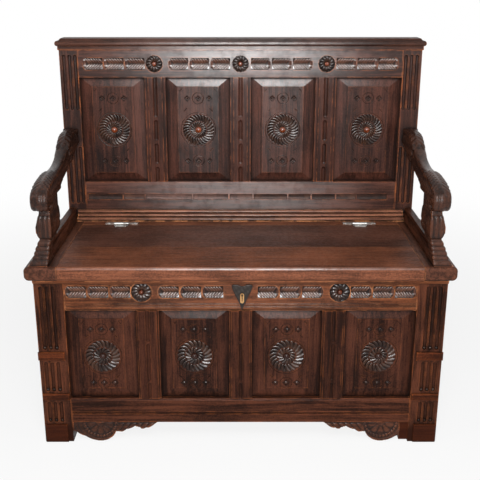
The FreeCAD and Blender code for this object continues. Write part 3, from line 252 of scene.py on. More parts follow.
def noise(vector, scale, detail=3.0, harsh=0.55, distort=0.0):
    """Noise with so many waves to the metre."""
    return vector.node("ShaderNodeTexNoise", inputs={
        "Vector": vector, "Scale": scale, "Detail": detail, "Roughness": harsh, "Distortion": distort})


def grain_of(start, along, seed):
    """All the noises of one board, from broad bands to pores, each board with its own seed."""
    place = start.node("ShaderNodeTexCoord", out=3)
    shifted = start.node("ShaderNodeVectorMath", {"operation": "ADD"},
                         {0: place, 1: (seed, seed * 0.7, seed * 1.3)})
    drawn = start.node("ShaderNodeVectorMath", {"operation": "MULTIPLY"}, {0: shifted, 1: GRAIN[along]})
    return SimpleNamespace(
        place=place,
        broad=noise(drawn, 16.0, 2.0, 0.5, 0.4).ramp(0.36, 0.64),
        rings=noise(drawn, 75.0, 3.0, 0.6, 0.7).ramp(0.36, 0.64),
        fibre=noise(drawn, 210.0, 3.0, 0.7),
        pores=noise(drawn, 760.0, 1.0, 0.5).ramp(0.58, 0.72),
        cloud=noise(shifted, 7.0, 3.0).ramp(0.36, 0.64),
        blotch=noise(shifted, 34.0, 3.0, 0.6),
        scuff=noise(shifted, 120.0, 2.0, 0.6),
        speckle=noise(shifted, 420.0, 2.0, 0.6).ramp(0.30, 0.70))


def scaled(tint, red, green, blue):
    """A colour with its channels multiplied."""
    return (tint[0] * red, tint[1] * green, tint[2] * blue, 1)


def bare_wood(start, wood, mean, contrast, streak):
    """The colour of the clean board: dark and light figure round a mean, then the pores."""
    low = 1 - 0.66 * contrast
    high = 1 + 0.75 * contrast
    dark = scaled(mean, low, low * 0.94, low * 0.9)
    light = scaled(mean, high * 1.06, high * 0.99, high * 0.9)
    bands = (wood.broad * 0.12 + wood.rings * 0.20) * streak + (1 - streak) * 0.16
    figure = bands + wood.cloud * 0.12 + wood.fibre * 0.40 + wood.speckle * 0.16
    body = start.tint(figure.ramp(0.30, 0.72), dark, light)
    return start.tint(wood.pores * 0.6, body, scaled(mean, 0.18, 0.16, 0.16))


print("grain runs along", ", ".join(GRAIN))

# %% [markdown]
# ## Old wax, wear and painted shade
# Oak that has been waxed for generations is nearly black in its hollows, red brown on its faces, and
# orange where hands and dusters rub the edges. Painting that by hand would take weeks, so the
# finish measures the shape itself: rays sent out of the surface find the hollows, and rays sent
# inwards find the edges. The hollows are painted dark, partly as black wax and partly as painted
# shade. On deep carving each point also carries how proud it stands, and its low points get the
# same painted shade.
#
# The polish lies unevenly too. It is brightest in the middle of the bench, where people sit and
# lean, on the highest rail, and on faces that tilt a little upwards and get the duster. It is a
# coat over the wood, and a mask tells it where to lie.

# %% Mix the oak
# The black that the hollows are painted towards: old wax and painted shade.
BLACK_WAX_AND_SHADE = (0.0055, 0.0035, 0.003, 1)
HOLLOW_REACH = 0.013
EDGE_REACH = 0.0045
SHEEN_WIDE, SHEEN_FULL = 0.46, 0.08
SHEEN_LOW, SHEEN_HIGH = 0.90, 1.0
DULL_TOP_FROM, DULL_TOP_TO = 1.037, 1.041


def rays(start, reach, **way):
    """How open a point is, found by a few short rays."""
    return start.node("ShaderNodeAmbientOcclusion", {"samples": 4, **way}, {"Distance": reach}, out=1)


def sheen(start, wood, hollow, polish, low=0.6, top=1.0, dust=0.14, spread=0.12):
    """How thickly the polish lies.

    It lies on the top rail by the share top, on tilted faces above the height low, lower down by
    the share dust, and out to the ends by the share spread.
    """
    height = wood.place.axis(2)
    tilt = start.node("ShaderNodeNewGeometry", out=1).axis(2)
    upper = (height.ramp(SHEEN_LOW, SHEEN_HIGH, dust, 1.0)
             * height.ramp(DULL_TOP_TO, DULL_TOP_FROM, 0.1, 1.0) * top)
    tilted = tilt.ramp(0.08, 0.22) * tilt.ramp(0.97, 0.85) * height.ramp(low, low + 0.06)
    middle = start.sum("ABSOLUTE", wood.place.axis(0)).ramp(SHEEN_WIDE, SHEEN_FULL, spread, 1.0)
    shine = middle * start.sum("MAXIMUM", upper, tilted) * (1 - hollow * (1 - spread)) * polish
    return shine * wood.blotch.ramp(0.3, 0.6, 0.6, 1.0)


def oak(name, along, mean, worn, edge=0.7, wax_and_shade=1.0, rough=0.40, gloss=0.08, seed=0.0, relief=1.0,
        contrast=1.0, streak=1.0, carved=False, foot=None, polish=0.0, coat=1.8, coat_rough=0.34, **where):
    """An oak finish with its grain along x, y or z.

    mean and worn colour the faces and the rubbed edges. edge, wax_and_shade and relief say how far
    wear, the dark of the hollows (black wax with painted shade) and open grain go, contrast and
    streak how lively the figure and its bands are. foot darkens the lower end: two heights, a share
    and three factors. polish is how thick the coat of wax is, and what else is given says where it
    lies, as the sheen explains.
    """
    material, start = new_tree(name)
    wood = grain_of(start, along, seed)
    hollow = rays(start, HOLLOW_REACH).ramp(0.93, 0.40)
    edges = rays(start, EDGE_REACH, inside=True, only_local=True).ramp(0.86, 0.50)
    rubbed = edges * wood.blotch.ramp(0.40, 0.62, 0.08, 1.0) * edge
    # Hollows are darkened towards black, partly as wax and partly as painted shade.
    hollow_wax_and_shade = hollow * 0.9 * wax_and_shade
    if carved:
        # On carving, the low points get the same painted shade.
        proud = start.node("ShaderNodeAttribute", {"attribute_name": "proud"}, out=2)
        hollow_wax_and_shade = start.sum("MAXIMUM", hollow_wax_and_shade, proud.ramp(0.80, 0.20, 0.0, 0.78))
    waxed_and_shaded = start.tint(hollow_wax_and_shade, bare_wood(start, wood, mean, contrast, streak), BLACK_WAX_AND_SHADE)
    final = start.tint(start.sum("MINIMUM", rubbed, 1.0), waxed_and_shaded, worn)
    if foot:
        upper, lower, most, factors = foot
        final = start.tint(wood.place.axis(2).ramp(upper, lower, 0.0, most), final, scaled(mean, *factors))

    grain = wood.fibre * 0.35 + wood.rings * 0.12 + wood.pores * -0.5 + wood.scuff * 0.28
    bump = start.node("ShaderNodeBump", inputs={"Strength": 0.28 * relief, "Distance": 0.001,
                                                "Height": grain})
    wax = wood.scuff.ramp(0.3, 0.7, rough - 0.06, rough + 0.08) + hollow * 0.2 + wood.pores * 0.1
    sockets = {"Base Color": final, "Roughness": wax, "Normal": bump, "Specular IOR Level": gloss,
               "Coat Roughness": coat_rough}
    if polish:
        sockets["Coat Weight"] = sheen(start, wood, hollow, polish, **where)
        sockets["Coat IOR"] = coat
    shader = start.node("ShaderNodeBsdfPrincipled", inputs=sockets)
    start.node("ShaderNodeOutputMaterial", inputs={"Surface": shader})
    return material


print("rays look for hollows within", HOLLOW_REACH, "m and for edges within", EDGE_REACH, "m")

# %% [markdown]
# ## The chest, the seat and the inside
# The chest is the darkest and dullest part, and darker still towards its feet. The frieze
# and the moulding under the seat are paler and redder, and so is the seat, which is worn smooth.

# %% Finish the chest and the seat
RUBBED = colour(176, 100, 54)
# The factors by which the lower ends are darkened towards the floor.
FOOT_DARKENING = (0.42, 0.28, 0.14)
CHEST = {way: oak("carved_oak_chest_" + way, way, colour(62, 34, 23), RUBBED, edge=0.5, seed=shift,
                  contrast=1.15, foot=(0.06, 0.035, 0.95, FOOT_DARKENING))
         for way, shift in (("x", 0.0), ("y", 3.1), ("z", 7.7))}
CHEST_MUNTIN = oak("carved_oak_muntin", "z", colour(54, 29, 20), RUBBED, edge=0.35, seed=51.3)
CHEST_PANEL = oak("panel_oak_chest", "z", colour(58, 32, 23), RUBBED, edge=0.35, seed=1.9, contrast=1.2,
                  streak=0.7, polish=0.09, low=0.32)
BAND = oak("carved_oak_band", "x", colour(84, 48, 30), colour(190, 124, 82), edge=0.8, seed=31.3,
           polish=1.0, low=0.32)
BLOCK = oak("carved_oak_blocks", "x", colour(72, 35, 18), colour(150, 80, 40), edge=0.8, seed=41.3,
            foot=(0.12, 0.05, 0.75, FOOT_DARKENING))
APRON = oak("carved_oak_apron", "x", colour(64, 37, 26), colour(150, 84, 46), edge=1.0, seed=19.2,
            rough=0.32, gloss=0.16, relief=0.8, carved=True)
SEAT = oak("seat_oak_x", "x", colour(108, 66, 48), colour(170, 112, 76), edge=0.9, seed=5.3, rough=0.44,
           gloss=0.12, contrast=0.9, streak=0.35, polish=1.0, low=0.3, top=0.0, spread=0.5)
SEAT_REAR = oak("seat_oak_rear", "x", colour(78, 50, 41), colour(150, 92, 60), edge=0.8, seed=15.3,
                rough=0.44, gloss=0.12, contrast=0.9, streak=0.35)
SEAT_END = oak("seat_oak_y", "y", colour(74, 45, 34), colour(160, 100, 66), edge=0.9, seed=2.3,
               rough=0.44, gloss=0.12, contrast=0.9)
INNER = oak("inner_oak", "x", colour(128, 92, 62), colour(160, 122, 86), edge=0.3, wax_and_shade=0.6, rough=0.7,
            seed=4.1, contrast=0.6)
print(len(bpy.data.materials), "finishes so far")

# %% [markdown]
# ## The back and the arms
# The back is a little cooler than the chest and has the most polish. The rail behind the seat and
# the reeds below it are pale from being wiped. The arms are dark but glossy, as hands leave them.

# %% Finish the back and the arms
BACK = {way: oak("carved_oak_back_" + way, way, colour(66, 40, 33), RUBBED, edge=0.75, rough=0.42,
                 gloss=0.14, seed=shift + 11, polish=1.0)
        for way, shift in (("x", 0.0), ("z", 7.7))}
BACK_PANEL = oak("panel_oak_back", "z", colour(62, 36, 29), RUBBED, edge=0.4, seed=6.4, gloss=0.12,
                 contrast=1.2, streak=0.7, polish=1.0)
BACK_MUNTIN = oak("carved_oak_back_muntin", "z", colour(58, 33, 26), RUBBED, edge=0.6, seed=53.3,
                  polish=0.6)
BACK_RAIL = oak("carved_oak_back_rail", "x", colour(72, 46, 39), RUBBED, edge=0.7, seed=57.3,
                polish=1.0, coat=2.3, dust=0.8, spread=0.05)
CORNICE = oak("carved_oak_cornice", "x", colour(60, 37, 30), RUBBED, edge=0.75, seed=67.3, polish=0.8)
REEDS = oak("carved_oak_reeds", "x", colour(118, 78, 62), colour(220, 150, 100), edge=1.2, wax_and_shade=1.5,
            seed=59.3, polish=0.6, dust=0.7)
ARM = oak("carved_oak_arm", "y", colour(50, 29, 21), colour(120, 68, 40), edge=0.5, seed=2.7,
          rough=0.30, gloss=0.22, relief=0.8, carved=True)
ARM_UPRIGHT = oak("carved_oak_support", "z", colour(54, 31, 22), colour(150, 84, 46), edge=1.0,
                  seed=9.2, rough=0.30, gloss=0.22, relief=0.8, carved=True)
print(len(bpy.data.materials), "finishes so far")

# %% [markdown]
# ## The fine carving
# Petals, leaves and studs are nearly black with small bright glints, so they get a dark colour, a
# smooth wax and a strong coat that lies only on what tilts upwards. The bosses are redder and have
# the hardest polish, but those of the chest have gone black with the rest of it.

# %% Finish the fine carving
FINE = {"relief": 0.4, "contrast": 0.6, "top": 0.0, "polish": 1.0}
WHORL = oak("carved_whorls", "z", colour(30, 18, 14), colour(140, 92, 66), edge=0.15, seed=1.9,
            rough=0.22, gloss=0.2, wax_and_shade=1.2, low=0.05, spread=0.45, coat=1.65, **FINE)
LEAF = oak("carved_leaves", "z", colour(78, 50, 40), colour(160, 108, 78), edge=0.15, seed=3.3,
           rough=0.30, gloss=0.2, wax_and_shade=1.5, low=0.3, spread=0.6, coat=2.2, carved=True, **FINE)
LEAF_BACK = oak("carved_leaves_back", "z", colour(84, 54, 44), colour(160, 108, 78), edge=0.15, seed=4.3,
                rough=0.30, gloss=0.2, wax_and_shade=1.3, low=0.3, spread=0.9, coat=3.0, carved=True, **FINE)
# Painted shade that darkens the star cuts round their studs.
STAR_SHADE = oak("painted_star_shade", "z", colour(20, 12, 9), colour(60, 36, 26), edge=0.1, seed=3.3, rough=0.45,
                gloss=0.1, relief=0.4, contrast=0.3)
STRIPS = [oak("inlay_dark", "x", colour(46, 32, 29), colour(100, 66, 52), edge=0.2, seed=60.3, gloss=0.2),
          oak("inlay_dim", "x", colour(64, 44, 39), colour(120, 84, 66), edge=0.3, seed=61.3, gloss=0.25),
          oak("inlay_pale", "x", colour(86, 66, 63), colour(140, 104, 90), edge=0.3, seed=63.3, gloss=0.3)]
BLACKENED = (0.06, 0.08, 0.12)
BOSS = oak("polished_boss", "z", colour(124, 58, 28), colour(170, 96, 56), edge=0.3, wax_and_shade=0.5,
           rough=0.15, gloss=0.14, relief=0.2, seed=8.8, contrast=0.6, foot=(0.5, 0.4, 0.95, BLACKENED),
           polish=1.0, coat_rough=0.14, spread=1.0)
print(len(bpy.data.materials), "finishes so far")

# %% [markdown]
# ## Metal
# The hinges are forged steel, wiped bright by the lid and dull with age, with rust in their
# corners. The lock and its pointed plate are blackened iron that has been waxed with the wood. The
# keyhole has a brass bush. All three are the same recipe, a metal with brushed noise, pits and a
# duller second colour where the wiping cloth doesn't reach.

# %% Mix the metals
def metal(name, bright, dull, shine, bare=1.0):
    """A worn metal: bright on its faces, dull in its pits and corners."""
    material, start = new_tree(name)
    place = start.node("ShaderNodeTexCoord", out=3)
    broad = noise(place, 45.0, 4.0, 0.5)
    fine = noise(place, 640.0, 2.0, 0.5)
    brushed = start.node("ShaderNodeVectorMath", {"operation": "MULTIPLY"}, {0: place, 1: (0.08, 1, 1)})
    lines = noise(brushed, 1400.0, 1.0, 0.5)
    corner = rays(start, 0.006).ramp(0.95, 0.45)
    dulled = start.sum("MINIMUM", broad.ramp(0.50, 0.72) + corner * 0.8, 1.0)
    height = lines * 0.3 + fine * 0.5 + broad * 0.6
    bump = start.node("ShaderNodeBump", inputs={"Strength": 0.25, "Distance": 0.0006, "Height": height})
    shader = start.node("ShaderNodeBsdfPrincipled", inputs={
        "Base Color": start.tint(dulled, bright, dull), "Metallic": bare - dulled * 0.5, "Normal": bump,
        "Roughness": fine.ramp(0.3, 0.7, shine, shine + 0.14) + dulled * 0.2})
    start.node("ShaderNodeOutputMaterial", inputs={"Surface": shader})
    return material


STEEL = metal("hinge_steel", (0.62, 0.62, 0.60, 1), colour(110, 98, 88), 0.32)
IRON = metal("lock_iron", (0.036, 0.030, 0.027, 1), colour(24, 17, 14), 0.32, bare=0.85)
BRASS = metal("keyhole_brass", (0.50, 0.29, 0.13, 1), colour(128, 96, 70), 0.34)
print("metals:", STEEL.name, IRON.name, BRASS.name)

# %% [markdown]
# ## Which board runs which way
# A joiner cuts rails with the grain along them, posts and panels with it upright, and the arms and
# side rails with it from front to back. Each frame piece gets the finish for its own direction. The
# list is read from the top, and the first start of a name that fits is taken.

# %% Give the frame pieces their finishes
BY_SLOT = {"inner_oak": INNER, "polished_boss": BOSS, "hinge_steel": STEEL, "lock_iron": IRON,
           "keyhole_brass": BRASS}
BY_NAME = (("lid_rear", SEAT_REAR), ("lid_front", SEAT), ("seat_end", SEAT_END), ("seat_rear", SEAT),
           ("seat_bed", BAND), ("seat_side", CHEST["y"]), ("back_panel", BACK_PANEL),
           ("back_muntin", BACK_MUNTIN), ("back_bottom", BACK_RAIL), ("back_foot", REEDS),
           ("back_frieze", BACK["x"]), ("rear_post", BACK["z"]), ("cornice", CORNICE),
           ("arm_support", CHEST["z"]), ("arm", CHEST["y"]), ("apron", CHEST["x"]),
           ("front_panel", CHEST_PANEL), ("front_muntin", CHEST_MUNTIN), ("front_stile", CHEST["z"]),
           ("front_frieze", BAND), ("front_bottom", CHEST["x"]), ("stile_blocks", BLOCK),
           ("side_panel", CHEST_PANEL), ("side_", CHEST["y"]))
subparts = frame["record"]["subparts"]
for part in subparts:
    finish = BY_SLOT.get(part["material_slot"])
    if finish is None:
        finish = next(given for begin, given in BY_NAME if part["node"].startswith(begin))
    piece = bpy.data.objects[part["node"]]
    piece.data.materials.clear()
    piece.data.materials.append(finish)
print(len(subparts), "frame pieces finished")

# %% [markdown]
# ## Tools for carving
# Every carved piece is made the same way: start from a primitive, shape it with operators and
# modifiers, apply them, and set it down where it belongs. These few helpers are the bench hooks and
# clamps: they pick one piece up, apply its place, join a set, and hand the result to the frame.

# %% Make the bench hooks
MM = 0.001
FACING = (math.pi / 2, 0, 0)


def pick(*pieces):
    """Select only these pieces; the last one is the one worked on."""
    bpy.ops.object.select_all(action="DESELECT")
    for piece in pieces:
        piece.select_set(True)
    bpy.context.view_layer.objects.active = pieces[-1]


def settle(piece):
    """Write a piece's place, turn and size into its mesh."""
    pick(piece)
    bpy.ops.object.transform_apply(location=True, rotation=True, scale=True)
    return piece


def shaped(piece, size=(1, 1, 1), turn=(0, 0, 0), place=(0, 0, 0)):
    """Size, turn and place a piece, each written into its mesh before the next."""
    piece.scale = size
    settle(piece)
    piece.rotation_euler = [math.radians(angle) for angle in turn]
    settle(piece)
    piece.location = place
    return settle(piece)


def edit_all(action, operator=None, **settings):
    """Select or deselect a picked piece's whole mesh in edit mode, and use one operator on it."""
    bpy.ops.object.mode_set(mode="EDIT")
    bpy.ops.mesh.select_all(action=action)
    if operator:
        operator(**settings)
    bpy.ops.object.mode_set(mode="OBJECT")


def ball(sides, rings, size):
    """A ball stretched along x, with its poles at the two ends."""
    bpy.ops.object.select_all(action="DESELECT")
    bpy.ops.mesh.primitive_uv_sphere_add(segments=sides, ring_count=rings, radius=0.5,
                                         rotation=(0, math.pi / 2, 0))
    return shaped(settle(bpy.context.object), size)


def use(piece, kind, **settings):
    """Add one modifier, set it and apply it."""
    pick(piece)
    modifier = piece.modifiers.new(kind.lower(), kind)
    for key, value in settings.items():
        setattr(modifier, key, value)
    bpy.ops.object.modifier_apply(modifier=modifier.name)
    return piece


def bend(piece, axis, degrees):
    """Bend a piece: about z its length curls sideways, about x its height curls forwards."""
    return use(piece, "SIMPLE_DEFORM", deform_method="BEND", deform_axis=axis, angle=math.radians(degrees))


def move_points(piece, wanted, value):
    """Pick the points of a piece that answer a test, and move them."""
    pick(piece)
    edit_all("DESELECT")
    for point in piece.data.vertices:
        point.select = wanted(point.co)
    bpy.ops.object.mode_set(mode="EDIT")
    bpy.ops.transform.translate(value=value)
    bpy.ops.object.mode_set(mode="OBJECT")


def join(pieces, name):
    """Join pieces into one with its place in its mesh."""
    pick(*pieces)
    if len(pieces) > 1:
        bpy.ops.object.join()
    whole = bpy.context.view_layer.objects.active
    whole.name = name
    whole.data.name = name
    return settle(whole)


def copy_to(piece, place=(0, 0, 0), turn=(0, 0, 0), size=(1, 1, 1)):
    """A copy with its own mesh, set down somewhere else."""
    twin = piece.copy()
    twin.data = piece.data.copy()
    bpy.context.scene.collection.objects.link(twin)
    twin.location = place
    twin.rotation_euler = turn
    twin.scale = size
    return twin


def face_out(piece):
    """Turn every face outwards, after a mirror or a spin."""
    pick(piece)
    edit_all("SELECT", bpy.ops.mesh.normals_make_consistent, inside=False)
    return piece


def hand_over(piece, finish, body="carcass", angle=50):
    """Finish a piece: smooth it, give it its finish and let it ride with its body."""
    pick(piece)
    bpy.ops.object.shade_smooth_by_angle(angle=math.radians(angle))
    piece.data.materials.clear()
    piece.data.materials.append(finish)
    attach(piece, body)
    print(piece.name, len(piece.data.polygons), "faces")
    return piece


print("carving is measured in", MM, "m")

# %% [markdown]
# ## Where the carving sits
# Four upright faces carry it: the rails of the back and of the chest, and the fields of their
# panels, 4 mm behind the rails. Everything is spaced about the middle line of the bench.

# %% Name the places
BACK_FACE, CHEST_FACE = 0.195, -0.230
BACK_FIELD, CHEST_FIELD = 0.199, -0.226
BACK_PANELS = (-0.3728, -0.1243, 0.1243, 0.3728)
CHEST_PANELS = (-0.3664, -0.1221, 0.1221, 0.3664)
BACK_ROUNDEL_Z, CHEST_ROUNDEL_Z = 0.785, 0.256
BACK_FRIEZE_Z, CHEST_FRIEZE_Z = 0.977, 0.4405
BACK_FLOWERS = (-0.2485, 0.0, 0.2485)
CHEST_FLOWERS = (-0.25675, 0.25675)
print(len(BACK_PANELS) + len(CHEST_PANELS), "roundels,", len(BACK_FLOWERS) + len(CHEST_FLOWERS), "flowers")

# %% [markdown]
# ## One petal, then a whorl of petals
# The roundels are two rings of petals that swirl opposite ways round a turned boss, like a pair of
# cog wheels cut with a gouge. One stroke of the gouge leaves a long ridge that dips in the middle
# and leans to one side, so a petal is a stretched ball, bent twice and rolled over on its long
# axis. The lean matters: it is why light from above picks out the petals on one side of the outer
# ring and on the other side of the inner one. The ring is one petal spun about the centre.

# %% Carve a ring of petals
def petal_ring(name, count, inner, outer, width, height, roll, skew, curl, dip=0):
    """A ring of leaning petals round the origin, facing up the z axis; its angles are in degrees."""
    ring = ball(10, 9, (outer - inner, width, height))
    ring = shaped(ring, turn=(90, 0, 0))
    bend(ring, "Z", dip)
    ring = shaped(ring, turn=(-90, 0, 0))
    bend(ring, "Z", curl)
    ring = shaped(ring, turn=(roll, 0, 0))
    ring = shaped(ring, turn=(0, 0, skew), place=((inner + outer) / 2, 0, 0))
    pick(ring)
    edit_all("SELECT", bpy.ops.mesh.spin, steps=count - 1, dupli=True,
             angle=2 * math.pi * (count - 1) / count, center=(0, 0, 0), axis=(0, 0, 1))
    ring.name = name
    return ring


def round_rim(radius, thickness, flat=1.0, sides=64, edges=8):
    """A raised round moulding about the origin, facing up the z axis."""
    bpy.ops.object.select_all(action="DESELECT")
    bpy.ops.mesh.primitive_torus_add(major_radius=radius, minor_radius=thickness, major_segments=sides,
                                     minor_segments=edges)
    return shaped(bpy.context.object, (1, 1, flat))


print("a petal starts from a ball of 10 sides")

# %% [markdown]
# ## The roundels
# Each back panel has a roundel of fine petals, and each chest panel a bolder one with fewer. They
# sit in the round troughs of the panels, and their tops stay just under the face of the field, as
# they must when a carver works down from a flat board. Only the first one on the back has a raised
# rim round it.

# %% Carve the roundels and set one in each panel
def roundel(name, outer_count, inner_count, bold=1.0, rimmed=False):
    """Two rings of petals that lean opposite ways, with the field's face at zero."""
    outer = petal_ring("outer", outer_count, 23.6 * MM, 48.5 * MM, 9.4 * MM * bold, 4.0 * MM,
                       roll=-22, skew=26, curl=40, dip=-38)
    outer.location.z = -2.0 * MM
    inner = petal_ring("inner", inner_count, 8.0 * MM, 27.0 * MM, 7.0 * MM * bold, 3.8 * MM,
                       roll=24, skew=-24, curl=-40, dip=-30)
    inner.location.z = -1.8 * MM
    rim = [round_rim(50.5 * MM, 1.6 * MM)] if rimmed else []
    return join([outer, inner] + rim, name)


fine_roundel = roundel("fine_roundel", 26, 17)
rimmed_roundel = roundel("rimmed_roundel", 26, 17, rimmed=True)
bold_roundel = roundel("bold_roundel", 21, 13, 1.12)
back_roundels = [copy_to(rimmed_roundel if x == BACK_PANELS[0] else fine_roundel,
                         (x, BACK_FIELD, BACK_ROUNDEL_Z), FACING) for x in BACK_PANELS]
chest_roundels = [copy_to(bold_roundel, (x, CHEST_FIELD, CHEST_ROUNDEL_Z), FACING) for x in CHEST_PANELS]
for pattern in (fine_roundel, rimmed_roundel, bold_roundel):
    bpy.data.objects.remove(pattern)
hand_over(join(back_roundels, "back_roundels"), WHORL)
hand_over(join(chest_roundels, "chest_roundels"), WHORL)

# %% [markdown]
# ## Studs in the chip stars
# Above and below each roundel runs a row of three star cuts. Each is left with a small raised stud
# in its middle, and the cut round the stud is painted dark as shade. A stud is a low four-sided
# point: a cone with four corners, set corner up, its tip softened by a bevel as years of dusting
# soften it. The painted shade is a thin dark ring with four corners, sunk so far that only its
# upper side shows.

# %% Fill the stars
def fill_stars(where, face, middles, height, across, up):
    """A stud and its ring of painted shade in each of the six stars of every panel."""
    bpy.ops.object.select_all(action="DESELECT")
    bpy.ops.mesh.primitive_cone_add(vertices=4, radius1=5.4 * MM, radius2=1.2 * MM, depth=3.2 * MM)
    stud = use(shaped(bpy.context.object, turn=(0, 0, 45)), "BEVEL", width=0.5 * MM, segments=2)
    # A thin dark ring that paints shade round each stud.
    wax = shaped(round_rim(8.6 * MM, 1.5 * MM, 0.8, sides=4, edges=6), place=(0, 0, -0.7 * MM))
    spots = [(middle + step * across, face, height + side * up)
             for middle in middles for side in (-1, 1) for step in (-1, 0, 1)]
    studs = [copy_to(stud, spot, FACING) for spot in spots]
    rings = [copy_to(wax, spot, FACING) for spot in spots]
    bpy.data.objects.remove(stud)
    bpy.data.objects.remove(wax)
    hand_over(join(rings, where + "_star_shade"), STAR_SHADE, angle=30)
    hand_over(join(studs, where + "_star_studs"), WHORL, angle=30)


fill_stars("back", BACK_FIELD, BACK_PANELS, BACK_ROUNDEL_Z, 32 * MM, 93 * MM)
fill_stars("chest", CHEST_FIELD, CHEST_PANELS, CHEST_ROUNDEL_Z, 29 * MM, 78 * MM)

# %% [markdown]
# ## The frieze rosettes
# Small flowers of a dozen petals sit between the leaf runs, three on the back and two on the chest.
# They are the same petal ring again, inside a low rim and sunk in their round pockets. Those of the
# chest are an eighth wider. Each has a button in its middle, which is a piece of its own because it
# has the finish of the bosses.

# %% Carve the rosettes
def rosette(name, count, reach, proud):
    """A flower of petals with a low rim, facing up the z axis."""
    petals = petal_ring("petals", count, 6.0 * MM, reach, 10.5 * MM, 7.0 * MM, roll=-24, skew=16, curl=26)
    petals.location.z = proud
    rim = round_rim(reach - 0.4 * MM, 1.1 * MM, 0.8, 40)
    rim.location.z = proud - 0.4 * MM
    return join([petals, rim], name)


CHEST_WIDER = (1.12, 1.12, 1.0)
flower = rosette("flower", 12, 23.2 * MM, -1.2 * MM)
back_rosettes = [copy_to(flower, (x, BACK_FACE, BACK_FRIEZE_Z), FACING) for x in BACK_FLOWERS]
chest_rosettes = [copy_to(flower, (x, CHEST_FACE, CHEST_FRIEZE_Z), FACING, CHEST_WIDER)
                  for x in CHEST_FLOWERS]
bpy.data.objects.remove(flower)
hand_over(join(back_rosettes, "back_rosettes"), WHORL)
hand_over(join(chest_rosettes, "chest_rosettes"), WHORL)

# %% Set the buttons
button = shaped(ball(16, 10, (10 * MM, 12.8 * MM, 12.8 * MM)), turn=(0, 90, 0))
buttons = [copy_to(button, (x, BACK_FACE, BACK_FRIEZE_Z), FACING) for x in BACK_FLOWERS]
buttons += [copy_to(button, (x, CHEST_FACE, CHEST_FRIEZE_Z), FACING) for x in CHEST_FLOWERS]
bpy.data.objects.remove(button)
hand_over(join(buttons, "rosette_buttons"), BOSS)

# %% [markdown]
# ## The inlaid channel
# Along the bottom rail of the back runs a shallow channel broken by bridges, and its beds are laid
# with thin strips of three shades, worn a little hollow. Each strip is a flat grid bent about its
# length, so that its middle lies lower than its edges. Each run below is a length in millimetres,
# its bridge included, and a shade from dark to pale.

# %% Lay the strips
RUNS = ((107, 0), (67, 1), (143, 2), (110, 2), (73, 2), (105, 1), (71, 1), (74, 0), (62, 1), (95, 0))
BRIDGE = 4
STRIP_GAP = 1
CHANNEL_Z = 0.582
strips = {}
start_x = -0.460
for long, shade in RUNS:
    bpy.ops.object.select_all(action="DESELECT")
    bpy.ops.mesh.primitive_grid_add(x_subdivisions=2, y_subdivisions=6, size=1, rotation=FACING)
    strip = shaped(settle(bpy.context.object), ((long - BRIDGE - STRIP_GAP) * MM, 1, 15.6 * MM))
    bend(strip, "X", -30)
    use(strip, "SOLIDIFY", thickness=1.2 * MM, offset=-1)
    strip.location = (start_x + (long - BRIDGE) / 2 * MM, BACK_FACE + 2.6 * MM, CHANNEL_Z)
    strips.setdefault(shade, []).append(settle(strip))
    start_x += long * MM
for shade, finish in enumerate(STRIPS):
    hand_over(face_out(join(strips[shade], "channel_strips_" + "abc"[shade])), finish)

# %% [markdown]
# ## The leaf runs of the friezes
# Between the rosettes run short leaf blocks. Each is a shallow trough with a scooped round end, and
# across it lie slanted veins that meet at its middle like the bones of a herring. The trough is a
# grid bent about its length. Its end is lifted column by column, and the veins are stretched balls
# laid on the two slopes, arrayed along the trough and mirrored about its middle.

# %% Carve one leaf block
VEINS = 6
VEIN_FIRST = 0.096875
VEIN_STEP = 0.134375
LIFTS = (3.2, 2.3, 1.4, 0.6)


def mark_proud(piece, rule):
    """Store how far each point stands proud, 0 to 1; the finish darkens low ones with wax and painted
    shade.
    """
    layer = piece.data.attributes.new("proud", "FLOAT", "POINT")
    for vertex, entry in zip(piece.data.vertices, layer.data):
        entry.value = rule(vertex.co)


def leaf_block(name, long, tall):
    """One block from x = 0 to long, facing -y, the rail's face at y = 0 and the round end at high x."""
    bpy.ops.object.select_all(action="DESELECT")
    bpy.ops.mesh.primitive_grid_add(x_subdivisions=26, y_subdivisions=10, size=1, rotation=FACING)
    trough = shaped(settle(bpy.context.object), (long + 3 * MM, 1, tall * 0.92))
    bend(trough, "X", -58)
    trough.location = ((long + 1 * MM) / 2, 3.9 * MM, 0)
    settle(trough)
    columns = sorted({round(v.co.x, 6) for v in trough.data.vertices})
    for lift, column in zip(LIFTS, columns[::-1]):
        near = tall * (0.32 + 0.05 * (LIFTS[0] - lift))
        move_points(trough, lambda co: abs(co.x - column) < 1e-5 and abs(co.z) < near, (0, -lift * MM, 0))
    last = columns[-1 - len(LIFTS)]
    # The trough is marked low and its scooped end high, so the finish paints the trough dark with wax and
    # painted shade.
    mark_proud(trough, lambda co: 1.0 if co.x > last and abs(co.z) < tall * 0.45 else 0.1)
    move_points(trough, lambda co: co.x > last and abs(co.z) > tall * 0.3, (0, 3.0 * MM, 0))
    vein = ball(8, 7, (tall * 0.64, 4.2 * MM, 5.6 * MM))
    bend(vein, "Z", 24)
    vein = shaped(vein, turn=(0, -52, 0))
    vein = shaped(vein, turn=(19, 0, 0), place=(long * VEIN_FIRST, 2.1 * MM, tall * 0.222))
    use(vein, "ARRAY", count=VEINS, use_relative_offset=False, use_constant_offset=True,
        constant_offset_displace=(long * VEIN_STEP, 0, 0))
    use(vein, "MIRROR", use_axis=(False, False, True))
    mark_proud(vein, lambda co: 1.0)
    return join([trough, face_out(vein)], name)


print(2 * VEINS, "veins to a leaf")


